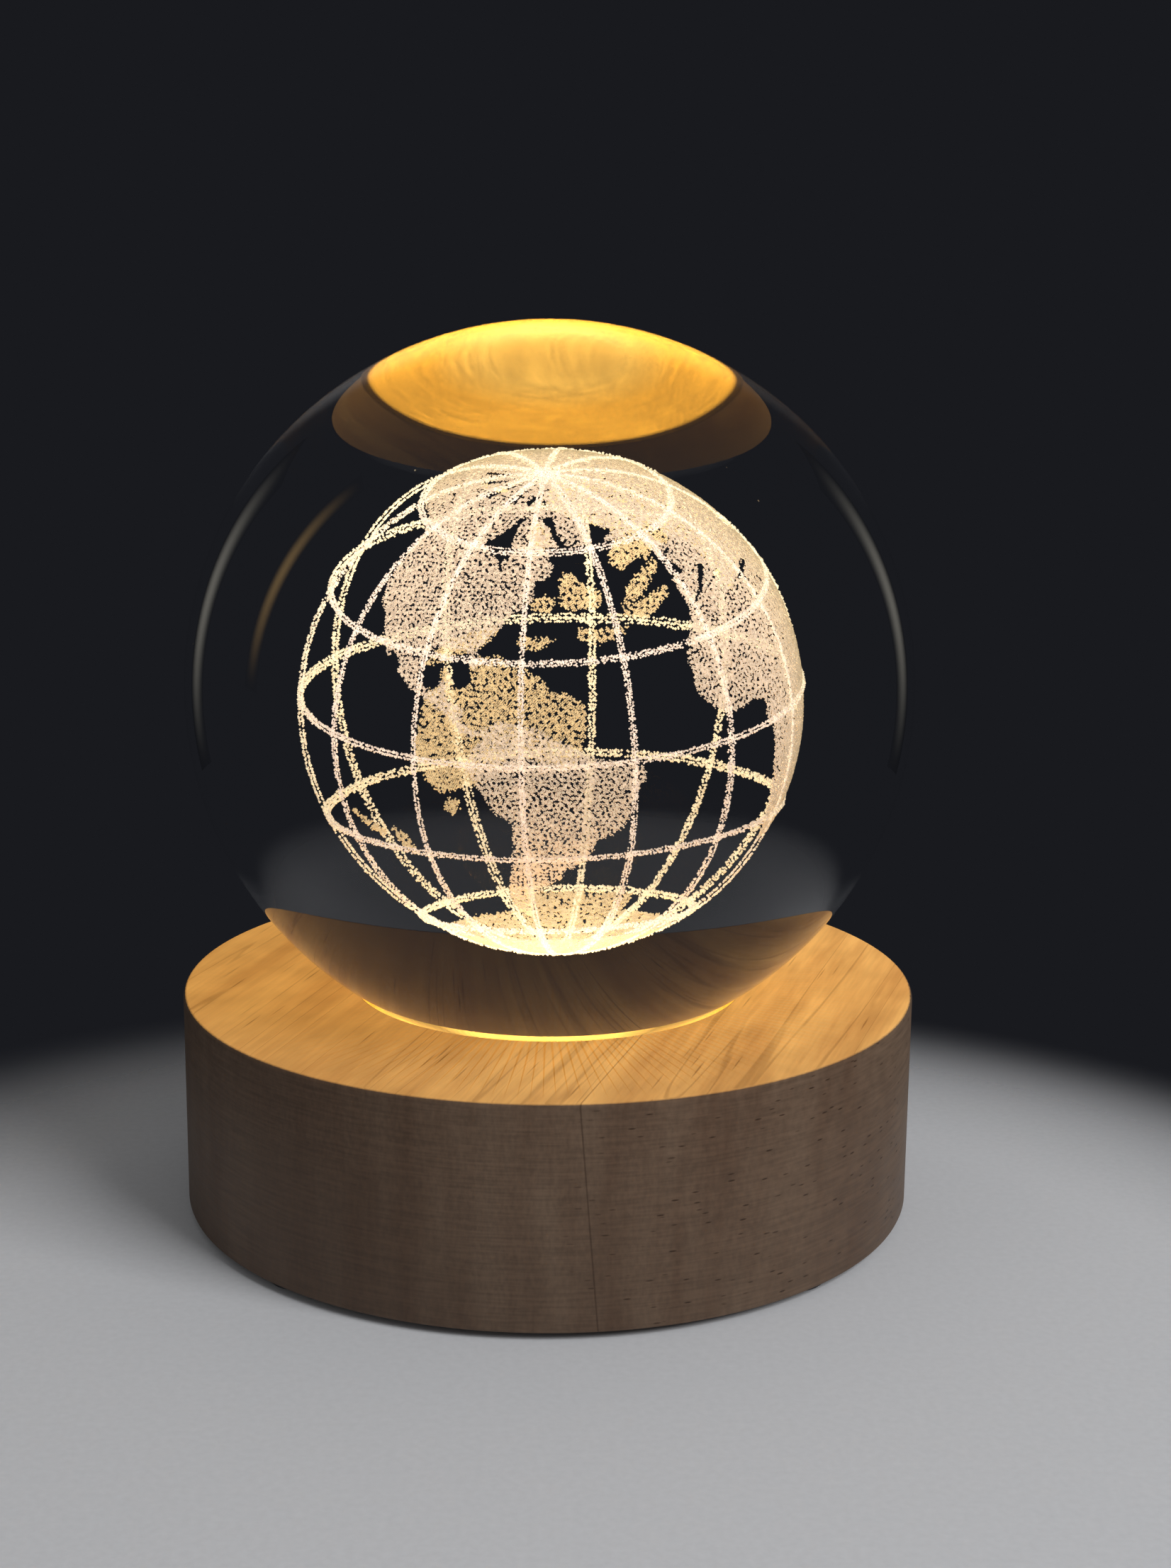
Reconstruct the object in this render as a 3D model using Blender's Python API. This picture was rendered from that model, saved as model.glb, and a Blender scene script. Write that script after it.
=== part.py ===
"""Crystal ball lamp: a solid glass ball, laser engraved with a globe, on a lit round wooden base.

Run it with Blender 4.5, as blender --background --python part.py or from the text editor.
Lengths are metres, angles degrees, +Z is up. The origin is on the table under the base's centre.
The front of the lamp faces -Y, and its inlet and power button face +Y.
"""

import math

import bmesh
import bpy
from mathutils import Matrix, Vector
from mathutils.geometry import delaunay_2d_cdt

# Air left between pieces that touch, and how far a cut runs past what it cuts
FIT_GAP = 0.0003
OVERRUN = 0.002
MERGE_DISTANCE = 0.000002

# Glass ball
BALL_RADIUS = 0.040
BALL_MERIDIANS = 48
BALL_PARALLELS = 24

# Engraved globe: it hangs a little under the ball's centre and leans to the front and left
GLOBE_RADIUS = 0.0182
GLOBE_DROP = 0.0012
GLOBE_LEAN_FRONT = 7
GLOBE_LEAN_LEFT = 1.9
FRONT_LONGITUDE = -51.9
PARALLEL_LINE_WIDTH = 0.00056
MERIDIAN_LINE_WIDTH = 0.00050
LAND_DEPTH = 0.00026
POLE_CAP_RADIUS = 0.0016
POLE_CAP_DEPTH = 0.00050
VENT_WIDTH = 0.0008
PARALLEL_LATITUDES = (-58.5, -27.5, 0, 27.5, 58.5)
MERIDIAN_COUNT = 12
MERIDIAN_END_LATITUDE = 86
LINE_STEP = 15
LAND_STEP = 13

# Wooden base
BASE_RADIUS = 0.041
BASE_THICKNESS = 0.0242
BASE_TOP_ROUND = 0.0005
BASE_BOTTOM_CHAMFER = 0.0004
SEAT_RADIUS = 0.0218
SEAT_ROUND = 0.0005
RECESS_CLEARANCE = 0.0021
POCKET_CEILING = 0.0045
SIDE_WALL = 0.013
WELL_RADIUS = 0.011
BASE_STEPS = 72
ROUND_STEPS = 3

# Light window over the light-emitting diodes
WINDOW_BEARING = 0.0017
WINDOW_THICKNESS = 0.0020
WINDOW_CHAMFER = 0.0003
WINDOW_STEPS = 48

# Feet
FOOT_RADIUS = 0.0032
FOOT_PROUD = 0.0008
FOOT_SUNK = 0.0006
FOOT_CHAMFER = 0.0002
FOOT_COUNT = 4
FOOT_FIRST_ANGLE = 45

# Bottom cover
COVER_BEARING = 0.0047
COVER_THICKNESS = 0.0016
COVER_CHAMFER = 0.0003

# Screws: head and shank of the cover's screws, then of the boards' screws
COVER_SCREW_HEAD_RADIUS = 0.0019
COVER_SCREW_HEAD_HEIGHT = 0.0011
COVER_SCREW_SHANK_RADIUS = 0.0010
COVER_SCREW_LENGTH = 0.0070
COVER_SCREW_COUNT = 3
COVER_SCREW_FIRST_ANGLE = -90
BOARD_SCREW_HEAD_RADIUS = 0.0018
BOARD_SCREW_HEAD_HEIGHT = 0.0012
BOARD_SCREW_SHANK_RADIUS = 0.0009
BOARD_SCREW_LENGTH = 0.0044
SCREW_TIP_LENGTH = 0.0010
SCREW_SLOT_WIDTH = 0.0005
SCREW_SLOT_DEPTH = 0.0005
SCREW_STEPS = 16

# Light board and what is soldered to it
LED_BOARD_LAND = 0.0050
LED_BOARD_THICKNESS = 0.0012
LED_BOARD_SCREW_EDGE = 0.0025
LED_BOARD_SCREW_ANGLE = 30
LED_BOARD_STEPS = 48
LED_COUNT = 6
LED_CIRCLE_RADIUS = 0.0066
LED_LENGTH = 0.0035
LED_WIDTH = 0.0028
LED_HEIGHT = 0.0007
LED_RIM = 0.0004
LED_DISH = 0.0002
RESISTOR_LENGTH = 0.0032
RESISTOR_WIDTH = 0.0016
RESISTOR_HEIGHT = 0.0006
RESISTOR_EDGE = 0.0001
RESISTOR_PITCH = 0.0060
RESISTOR_SETBACK = 0.0080

# Rear bay and panel
BAY_WIDTH = 0.022
BAY_HEIGHT = 0.0066
PANEL_WIDTH = 0.0260
PANEL_HEIGHT = 0.0090
PANEL_CORNER = 0.0020
PANEL_THICKNESS = 0.0016
PANEL_INSET = 0.0014
CORNER_STEPS = 4

# Inlet board, its socket and its two small resistors
INLET_BOARD_WIDTH = 0.018
INLET_BOARD_THICKNESS = 0.0010
INLET_BOARD_SCREW_SPREAD = 0.0066
INLET_BOARD_SCREW_EDGE = 0.0023
BOARD_SPACING = 0.0030
PULL_DOWN_SETBACK = 0.0009
PULL_DOWN_PITCH = 0.0021
SOCKET_WIDTH = 0.00894
SOCKET_HEIGHT = 0.00326
SOCKET_LENGTH = 0.00735
SOCKET_WALL = 0.00035
SOCKET_OFFSET = 0.0054
SOCKET_STEPS = 8
TONGUE_WIDTH = 0.00669
TONGUE_THICKNESS = 0.00070
TONGUE_LENGTH = 0.0050
TONGUE_EDGE = 0.00015

# Power switch and its button
SWITCH_WIDTH = 0.0070
SWITCH_HEIGHT = 0.0044
SWITCH_LENGTH = 0.0050
SWITCH_EDGE = 0.0004
SWITCH_OFFSET = 0.0064
SWITCH_STEPS = 24
PLUNGER_RADIUS = 0.0012
PLUNGER_ENTRY = 0.0012
BUTTON_RADIUS = 0.0025
BUTTON_PROUD = 0.0017
BUTTON_ROUND = 0.0004
BUTTON_TRAVEL = 0.0012

# Leads between the boards
LEAD_RADIUS = 0.0006
LEAD_SPREAD = 0.0008
LEAD_DROP = 0.0042
LEAD_INLET_EDGE = 0.0012
LEAD_LED_EDGE = 0.0025
LEAD_POINTS = 15
LEAD_SIDE_STEPS = 2


def seat_height():
    """Height of the ball's centre when it rests on the rounded edge of the recess."""
    reach = BALL_RADIUS + SEAT_ROUND + FIT_GAP
    edge_circle = SEAT_RADIUS + SEAT_ROUND
    return WOOD_TOP - SEAT_ROUND + math.sqrt(reach**2 - edge_circle**2)


# Heights and places that follow from the sizes above
WOOD_BOTTOM = FOOT_PROUD
WOOD_TOP = WOOD_BOTTOM + BASE_THICKNESS
RECESS_FLOOR = seat_height() - BALL_RADIUS - RECESS_CLEARANCE
POCKET_TOP = RECESS_FLOOR - POCKET_CEILING
POCKET_RADIUS = BASE_RADIUS - SIDE_WALL
WINDOW_RADIUS = WELL_RADIUS + WINDOW_BEARING
WINDOW_BORE_RADIUS = WINDOW_RADIUS + FIT_GAP
WINDOW_LEDGE = RECESS_FLOOR - WINDOW_THICKNESS - FIT_GAP
COVER_RADIUS = POCKET_RADIUS + COVER_BEARING
COVER_BORE_RADIUS = COVER_RADIUS + FIT_GAP
COVER_LEDGE = WOOD_BOTTOM + COVER_THICKNESS + FIT_GAP
COVER_SCREW_CIRCLE_RADIUS = (POCKET_RADIUS + COVER_RADIUS) / 2
FOOT_CIRCLE_RADIUS = (COVER_RADIUS + BASE_RADIUS) / 2
BOARD_TOP = POCKET_TOP - FIT_GAP
LED_BOARD_RADIUS = WELL_RADIUS + LED_BOARD_LAND
LED_BOARD_SCREW_REACH = LED_BOARD_RADIUS - LED_BOARD_SCREW_EDGE
PANEL_OUTER_RADIUS = BASE_RADIUS - PANEL_INSET
PANEL_INNER_RADIUS = PANEL_OUTER_RADIUS - PANEL_THICKNESS
SOCKET_CEILING = BOARD_TOP - INLET_BOARD_THICKNESS - FIT_GAP
CONTROL_HEIGHT = SOCKET_CEILING - SOCKET_HEIGHT / 2
INLET_BOARD_START = LED_BOARD_RADIUS + BOARD_SPACING
LANE_MIDDLE = (SWITCH_OFFSET - SWITCH_WIDTH / 2 - SOCKET_OFFSET + SOCKET_WIDTH / 2) / 2


# Outlines of the land on the globe, as longitude and latitude, from memory of an atlas.
# Each one is crossed by a line of the globe, so that the engraving is one connected mark.
NORTH_AMERICA = (
    (-168, 66), (-156, 71), (-128, 70), (-100, 68), (-94, 72), (-82, 68), (-88, 64), (-94, 60),
    (-88, 56.5), (-80, 51.5), (-78, 58), (-72, 62), (-64, 59), (-56, 52), (-66, 49.5), (-61, 46),
    (-70, 43), (-75, 37), (-81, 31), (-80.5, 25.5), (-84, 29.5), (-97, 27.5), (-97, 20), (-91, 18.5),
    (-87, 21), (-88.5, 16), (-83.5, 14), (-81, 9), (-77.5, 8), (-81, 6.5), (-87, 12), (-95, 15.5),
    (-105, 19.5), (-112, 26), (-117, 32.5), (-124, 40), (-124.5, 47), (-133, 56), (-142, 60),
    (-152, 59.5), (-163, 55), (-158, 58.5), (-165, 62),
)
SOUTH_AMERICA = (
    (-79.2, 9.3), (-72, 12), (-62, 10.5), (-52, 5), (-50, 0), (-40, -3), (-35, -7), (-39, -14),
    (-41, -22), (-48, -26), (-54, -34), (-58, -38.5), (-65, -42), (-69, -51), (-67, -55),
    (-74, -52), (-74, -42), (-71, -30), (-70.5, -19), (-77, -13), (-81, -5), (-79.5, 3),
)
AFRICA = (
    (-6, 35.5), (10, 37), (20, 31), (32, 31), (38, 19), (43.5, 11.5), (51, 12), (47, 4), (40, -4),
    (40, -15), (35, -22), (31, -30), (20, -34.8), (14.5, -25), (13, -9), (9, 4), (-8, 4.5),
    (-17, 14), (-16, 23), (-10, 30),
)
EURASIA = (
    (-9, 37.5), (-9, 43.5), (-1.5, 44), (-4.5, 48.5), (4, 52), (9, 56), (20, 55), (29, 60), (22, 60.5),
    (24, 65), (17, 61), (14, 56), (6, 59), (14, 67), (28, 71), (41, 67), (56, 68.5), (72, 72),
    (104, 77), (130, 71.5), (160, 70), (188, 66), (178, 62.5), (162, 57), (157, 52), (162, 61.5),
    (136, 54.5), (140, 48), (129, 41), (128, 35.5), (121, 39.5), (122, 31), (110, 21), (109, 12),
    (104.5, 9.5), (100, 13), (103, 2), (98, 9), (96, 16), (90, 22), (80, 14), (77.5, 8), (72, 20),
    (57, 26), (49, 29.5), (57.5, 24), (59, 21), (44, 13), (35.5, 28), (35.5, 36.5), (27, 38), (23, 37.5),
    (13, 45), (16.5, 39), (9, 44), (1, 41), (-5, 36.3),
)
GREENLAND = ((-70, 77), (-58, 82), (-32, 83), (-20, 78), (-26, 69), (-43, 60.5), (-53, 67))
AUSTRALIA = (
    (114, -23), (122, -18), (131, -12), (140, -17), (143, -11), (153, -26), (147, -38.5),
    (138, -34), (129, -32), (116, -34.5),
)
ANTARCTICA = (
    (-180, -78), (-130, -74), (-95, -73), (-70, -71), (-60, -64), (-62, -75), (-35, -78), (-10, -71),
    (30, -69), (70, -68), (110, -66.5), (150, -69), (168, -75),
)
BORNEO = ((109, 1.5), (117, 7), (118.5, 1), (115, -4), (110, -3))
SUMATRA = ((95.5, 5.5), (104, -1.5), (106, -6), (101, -3))
LANDS = (
    NORTH_AMERICA, SOUTH_AMERICA, AFRICA, EURASIA, GREENLAND, AUSTRALIA, ANTARCTICA, BORNEO, SUMATRA,
)


def clear_scene():
    for old in list(bpy.data.objects):
        bpy.data.objects.remove(old, do_unlink=True)


def material(name, colour, roughness, metallic=0.0, transmission=0.0, ior=1.5):
    """A Principled material from a linear colour."""
    made = bpy.data.materials.new(name)
    made.use_nodes = True
    shader = made.node_tree.nodes["Principled BSDF"]
    shader.inputs["Base Color"].default_value = (*colour, 1.0)
    shader.inputs["Roughness"].default_value = roughness
    shader.inputs["Metallic"].default_value = metallic
    shader.inputs["Transmission Weight"].default_value = transmission
    shader.inputs["IOR"].default_value = ior
    made.diffuse_color = (*colour, 1.0)
    return made


def place(name, shape, finish, location=(0, 0, 0), smooth_angle=32):
    """Makes a named object from a bmesh, with round faces shaded smooth."""
    bmesh.ops.recalc_face_normals(shape, faces=shape.faces)
    mesh = bpy.data.meshes.new(name)
    shape.to_mesh(mesh)
    shape.free()
    mesh.shade_smooth()
    mesh.set_sharp_from_angle(angle=math.radians(smooth_angle))
    mesh.materials.append(finish)
    made = bpy.data.objects.new(name, mesh)
    made.location = location
    bpy.context.collection.objects.link(made)
    return made


def shape_of(source):
    """The evaluated mesh of an object as a bmesh in world space; the object is removed."""
    bpy.context.view_layer.update()
    evaluated = source.evaluated_get(bpy.context.evaluated_depsgraph_get())
    mesh = bpy.data.meshes.new_from_object(evaluated)
    shape = bmesh.new()
    shape.from_mesh(mesh)
    bmesh.ops.transform(shape, matrix=source.matrix_world, verts=shape.verts)
    bpy.data.objects.remove(source, do_unlink=True)
    bpy.data.meshes.remove(mesh)
    return shape


def combine(shape, tools, operation="DIFFERENCE"):
    """Cuts, joins or intersects a bmesh with a list of others, one after another."""
    blank = material("blank", (1, 1, 1), 1.0)
    body = place("body", shape, blank)
    cutters = [place("cutter", tool, blank) for tool in tools]
    for cutter in cutters:
        cutter.hide_render = True
        cutter.display_type = "WIRE"
        step = body.modifiers.new(operation.lower(), "BOOLEAN")
        step.operation = operation
        step.object = cutter
    result = shape_of(body)
    for cutter in cutters:
        bpy.data.objects.remove(cutter, do_unlink=True)
    return result


def moved(shape, offset):
    bmesh.ops.translate(shape, vec=offset, verts=shape.verts)
    return shape


def arc(centre_radius, centre_height, radius, start, end, steps=ROUND_STEPS):
    """Points of a profile's round edge, from one angle to another."""
    angles = [math.radians(start + (end - start) * step / steps) for step in range(steps + 1)]
    return [
        (centre_radius + radius * math.cos(angle), centre_height + radius * math.sin(angle))
        for angle in angles
    ]


def turned(profile, steps):
    """Spins a profile of (radius, height) points round Z. A profile off the axis is a closed loop."""
    shape = bmesh.new()
    points = [shape.verts.new((radius, 0, height)) for radius, height in profile]
    for start, end in zip(points, points[1:]):
        shape.edges.new((start, end))
    if profile[0][0] > 0:
        shape.edges.new((points[-1], points[0]))
    bmesh.ops.spin(
        shape, geom=shape.verts[:] + shape.edges[:], cent=(0, 0, 0), axis=(0, 0, 1),
        angle=math.tau, steps=steps, use_merge=True,
    )
    bmesh.ops.remove_doubles(shape, verts=shape.verts, dist=MERGE_DISTANCE)
    return shape


def disc(radius, bottom, top, steps, chamfer=0):
    """A round plate round Z, with its upper and lower edges chamfered alike."""
    if chamfer == 0:
        return turned([(0, bottom), (radius, bottom), (radius, top), (0, top)], steps)
    flat = radius - chamfer
    profile = [(0, bottom), (flat, bottom), (radius, bottom + chamfer)]
    profile += [(radius, top - chamfer), (flat, top), (0, top)]
    return turned(profile, steps)


def block(size, centre, edge=0, along="XYZ", steps=1):
    """A box whose edges that run along the named axes are rounded or chamfered."""
    shape = bmesh.new()
    bmesh.ops.create_cube(shape, size=1)
    bmesh.ops.scale(shape, vec=size, verts=shape.verts)
    if edge > 0:
        axes = ["XYZ".index(letter) for letter in along]
        chosen = []
        for side in shape.edges:
            run = side.verts[1].co - side.verts[0].co
            if any(abs(run[axis]) > MERGE_DISTANCE for axis in axes):
                chosen.append(side)
        bmesh.ops.bevel(shape, geom=chosen, offset=edge, segments=steps, profile=0.5, affect="EDGES")
    return moved(shape, centre)


def prism(outline, start, end):
    """An outline of (x, z) points extruded along Y."""
    shape = bmesh.new()
    face = shape.faces.new([shape.verts.new((x, start, z)) for x, z in outline])
    grown = bmesh.ops.extrude_face_region(shape, geom=[face], use_keep_orig=True)
    far = [item for item in grown["geom"] if isinstance(item, bmesh.types.BMVert)]
    bmesh.ops.translate(shape, vec=(0, end - start, 0), verts=far)
    return shape


def stadium(width, height, centre_x, centre_z):
    """Outline of a slot with round ends."""
    radius = height / 2
    straight = width / 2 - radius
    right = arc(centre_x + straight, centre_z, radius, -90, 90, SOCKET_STEPS)
    left = arc(centre_x - straight, centre_z, radius, 90, 270, SOCKET_STEPS)
    return right + left


def rod(radius, start, end, centre_x, centre_z, steps):
    """A round bar along Y."""
    outline = arc(centre_x, centre_z, radius, 0, 360, steps)[:-1]
    return prism(outline, start, end)


def tube(points, radius, roundness, closed=False):
    """A tube along points, as a bevelled poly curve with filled caps."""
    curve = bpy.data.curves.new("tube", "CURVE")
    curve.dimensions = "3D"
    curve.bevel_depth = radius
    curve.bevel_resolution = roundness
    curve.use_fill_caps = True
    spline = curve.splines.new("POLY")
    spline.points.add(len(points) - 1)
    for target, point in zip(spline.points, points):
        target.co = (*point, 1)
    spline.use_cyclic_u = closed
    holder = bpy.data.objects.new("tube", curve)
    bpy.context.collection.objects.link(holder)
    shape = shape_of(holder)
    bmesh.ops.remove_doubles(shape, verts=shape.verts, dist=MERGE_DISTANCE)
    return shape


def around(count, radius, first_angle):
    """Points evenly spaced on a circle round Z, with the angle of each."""
    for index in range(count):
        angle = math.radians(first_angle) + math.tau * index / count
        yield radius * math.cos(angle), radius * math.sin(angle), angle


def globe_turn():
    """Rotation from the map's own axes to the leaning globe's."""
    front_lean = math.radians(GLOBE_LEAN_FRONT)
    left_lean = math.radians(GLOBE_LEAN_LEFT)
    pole = Vector((-math.sin(left_lean), -math.sin(front_lean), math.cos(front_lean))).normalized()
    front = Vector((0, -1, 0))
    front = (front - pole * front.dot(pole)).normalized()
    leaning = Matrix((front, pole.cross(front), pole)).transposed()
    return leaning @ Matrix.Rotation(math.radians(-FRONT_LONGITUDE), 3, "Z")


def on_map(longitude, latitude):
    """Direction of a place on the map, from the globe's middle."""
    turn, rise = math.radians(longitude), math.radians(latitude)
    return Vector((math.cos(rise) * math.cos(turn), math.cos(rise) * math.sin(turn), math.sin(rise)))


def on_globe(direction, radius=GLOBE_RADIUS):
    """A place on the globe, measured from the ball's centre."""
    return globe_turn() @ direction * radius - Vector((0, 0, GLOBE_DROP))


def parallel_line(latitude):
    points = [on_globe(on_map(longitude, latitude)) for longitude in range(0, 360, LINE_STEP)]
    return tube(points, PARALLEL_LINE_WIDTH / 2, 0, closed=True)


def meridian_line(longitude):
    steps = round(2 * MERIDIAN_END_LATITUDE / LINE_STEP)
    rises = [MERIDIAN_END_LATITUDE * (2 * step / steps - 1) for step in range(steps + 1)]
    return tube([on_globe(on_map(longitude, rise)) for rise in rises], MERIDIAN_LINE_WIDTH / 2, 0)


def pole_cap(latitude):
    """A small flat cap in which the meridian lines meet."""
    half = POLE_CAP_DEPTH / 2
    ends = [on_globe(on_map(0, latitude), GLOBE_RADIUS + offset) for offset in (-half, half)]
    return tube(ends, POLE_CAP_RADIUS, ROUND_STEPS)


def vent():
    """A fine channel from the globe's south pole out through the ball's underside."""
    ends = [on_globe(on_map(0, -90)), on_globe(on_map(0, -90), BALL_RADIUS + OVERRUN)]
    return tube(ends, VENT_WIDTH / 2, 0)


def chart_axes(outline):
    """Middle of a land and the two directions across its flat chart."""
    middle = sum((on_map(*spot) for spot in outline), Vector()).normalized()
    across = middle.orthogonal().normalized()
    return middle, across, middle.cross(across)


def to_chart(direction, axes):
    """A direction as a chart point, as many degrees from the chart's middle as it is on the map."""
    middle, across, along = axes
    point = Vector((direction.dot(across), direction.dot(along)))
    return point.normalized() * math.degrees(middle.angle(direction))


def from_chart(point, axes):
    middle, across, along = axes
    reach = math.radians(point.length)
    level = (across * point.x + along * point.y).normalized()
    return middle * math.cos(reach) + level * math.sin(reach)


def inside(point, outline):
    """Whether a chart point lies inside an outline, by the borders crossed to its right."""
    crossings = 0
    for start, end in zip(outline, outline[1:] + outline[:1]):
        if (start.y > point.y) != (end.y > point.y):
            share = (point.y - start.y) / (end.y - start.y)
            crossings += start.x + share * (end.x - start.x) > point.x
    return crossings % 2 == 1


def chart_border(outline, axes):
    """A land's border on its chart, with long stretches divided."""
    corners = [to_chart(on_map(*spot), axes) for spot in outline]
    border = []
    for start, end in zip(corners, corners[1:] + corners[:1]):
        parts = max(1, math.ceil((end - start).length / LAND_STEP))
        border += [start.lerp(end, part / parts) for part in range(parts)]
    return border


def chart_filling(border):
    """Points spread over a land's chart, clear of its border."""
    reach = math.ceil(max(spot.length for spot in border) / LAND_STEP)
    filling = []
    for row in range(-reach, reach + 1):
        for column in range(-reach, reach + 1):
            spot = Vector(((column + row % 2 / 2) * LAND_STEP, row * LAND_STEP))
            if inside(spot, border) and min((spot - edge).length for edge in border) > LAND_STEP / 2:
                filling.append(spot)
    return filling


def land_patch(outline):
    """A thin curved slab on the globe with a land's outline."""
    axes = chart_axes(outline)
    border = chart_border(outline, axes)
    ring = list(range(len(border)))
    points, _, faces, *_ = delaunay_2d_cdt(border + chart_filling(border), [], [ring], 1, MERGE_DISTANCE)
    directions = [from_chart(point, axes) for point in points]
    shape = bmesh.new()
    inner = [shape.verts.new(on_globe(way, GLOBE_RADIUS - LAND_DEPTH / 2)) for way in directions]
    outer = [shape.verts.new(on_globe(way, GLOBE_RADIUS + LAND_DEPTH / 2)) for way in directions]
    for face in faces:
        shape.faces.new([inner[index] for index in face])
        shape.faces.new([outer[index] for index in reversed(face)])
    rims = [side for side in shape.edges if side.is_boundary]
    bmesh.ops.bridge_loops(shape, edges=rims)
    return shape


def crystal_ball():
    glass = material("optical_glass", (0.96, 0.97, 0.98), 0.0, transmission=1.0, ior=1.52)
    shape = bmesh.new()
    bmesh.ops.create_uvsphere(
        shape, u_segments=BALL_MERIDIANS, v_segments=BALL_PARALLELS, radius=BALL_RADIUS
    )
    marks = [parallel_line(latitude) for latitude in PARALLEL_LATITUDES]
    marks += [meridian_line(360 * index / MERIDIAN_COUNT) for index in range(MERIDIAN_COUNT)]
    marks += [pole_cap(90), pole_cap(-90), vent()]
    marks += [land_patch(outline) for outline in LANDS]
    return place("crystal_ball", combine(shape, marks), glass, location=(0, 0, seat_height()))


def wooden_base(wood):
    """Turned wood with the ball's seat, the light well, the pocket and the rear bay."""
    chamfer = BASE_BOTTOM_CHAMFER
    profile = [(COVER_BORE_RADIUS, WOOD_BOTTOM), (BASE_RADIUS - chamfer, WOOD_BOTTOM)]
    profile += [(BASE_RADIUS, WOOD_BOTTOM + chamfer)]
    profile += arc(BASE_RADIUS - BASE_TOP_ROUND, WOOD_TOP - BASE_TOP_ROUND, BASE_TOP_ROUND, 0, 90)
    profile += arc(SEAT_RADIUS + SEAT_ROUND, WOOD_TOP - SEAT_ROUND, SEAT_ROUND, 90, 180)
    profile += [(SEAT_RADIUS, RECESS_FLOOR), (WINDOW_BORE_RADIUS, RECESS_FLOOR)]
    profile += [(WINDOW_BORE_RADIUS, WINDOW_LEDGE), (WELL_RADIUS, WINDOW_LEDGE)]
    profile += [(WELL_RADIUS, POCKET_TOP), (POCKET_RADIUS, POCKET_TOP)]
    profile += [(POCKET_RADIUS, COVER_LEDGE), (COVER_BORE_RADIUS, COVER_LEDGE)]
    shape = turned(profile, BASE_STEPS)

    cuts = [rear_bay(), panel_sector(FIT_GAP, PANEL_INNER_RADIUS - FIT_GAP, BASE_RADIUS + OVERRUN)]
    for x, y, _ in around(FOOT_COUNT, FOOT_CIRCLE_RADIUS, FOOT_FIRST_ANGLE):
        top = WOOD_BOTTOM + FOOT_SUNK + FIT_GAP
        cuts.append(moved(disc(FOOT_RADIUS + FIT_GAP, WOOD_BOTTOM - OVERRUN, top, SWITCH_STEPS), (x, y, 0)))
    hole = COVER_SCREW_SHANK_RADIUS + FIT_GAP
    for x, y, _ in cover_screw_places():
        top = WOOD_BOTTOM + COVER_SCREW_LENGTH + FIT_GAP
        cuts.append(moved(disc(hole, COVER_LEDGE - OVERRUN, top, SCREW_STEPS), (x, y, 0)))
    hole = BOARD_SCREW_SHANK_RADIUS + FIT_GAP
    for x, y, seat in board_screw_places():
        top = seat + BOARD_SCREW_LENGTH + FIT_GAP
        cuts.append(moved(disc(hole, POCKET_TOP - OVERRUN, top, SCREW_STEPS), (x, y, 0)))
    return place("wooden_base", combine(shape, cuts), wood)


def rear_bay():
    """The space behind the rear panel, open to the pocket."""
    start = min(INLET_BOARD_START, POCKET_RADIUS / 2)
    end = PANEL_INNER_RADIUS
    size = (BAY_WIDTH, end - start, BAY_HEIGHT)
    return block(size, (0, (start + end) / 2, POCKET_TOP - BAY_HEIGHT / 2))


def panel_sector(margin, inner, outer):
    """A curved plate between two radii, with the rear panel's outline grown by a margin."""
    width = PANEL_WIDTH + 2 * margin
    height = PANEL_HEIGHT + 2 * margin
    low = CONTROL_HEIGHT - PANEL_HEIGHT
    ring = turned([(inner, low), (outer, low), (outer, low + 2 * PANEL_HEIGHT),
                   (inner, low + 2 * PANEL_HEIGHT)], BASE_STEPS)
    size = (width, BASE_RADIUS, height)
    centre = (0, BASE_RADIUS, CONTROL_HEIGHT)
    return combine(block(size, centre, PANEL_CORNER + margin, "Y", CORNER_STEPS), [ring], "INTERSECT")


def rear_panel(plastic):
    shape = panel_sector(0, PANEL_INNER_RADIUS, PANEL_OUTER_RADIUS)
    socket_outline = stadium(
        SOCKET_WIDTH + 2 * FIT_GAP, SOCKET_HEIGHT + 2 * FIT_GAP, -SOCKET_OFFSET, CONTROL_HEIGHT
    )
    socket_hole = prism(socket_outline, 0, BASE_RADIUS + OVERRUN)
    button_hole = rod(
        BUTTON_RADIUS + FIT_GAP, 0, BASE_RADIUS + OVERRUN, SWITCH_OFFSET, CONTROL_HEIGHT, SWITCH_STEPS
    )
    return place("rear_panel", combine(shape, [socket_hole, button_hole]), plastic)


def light_window(frosted):
    shape = disc(WINDOW_RADIUS, RECESS_FLOOR - WINDOW_THICKNESS, RECESS_FLOOR, WINDOW_STEPS, WINDOW_CHAMFER)
    return place("light_window", shape, frosted)


def feet(rubber):
    for index, (x, y, _) in enumerate(around(FOOT_COUNT, FOOT_CIRCLE_RADIUS, FOOT_FIRST_ANGLE), 1):
        shape = disc(FOOT_RADIUS, 0, FOOT_PROUD + FOOT_SUNK, SWITCH_STEPS, FOOT_CHAMFER)
        place(f"foot_{index}", shape, rubber, location=(x, y, 0))


def cover_screw_places():
    return list(around(COVER_SCREW_COUNT, COVER_SCREW_CIRCLE_RADIUS, COVER_SCREW_FIRST_ANGLE))


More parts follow.
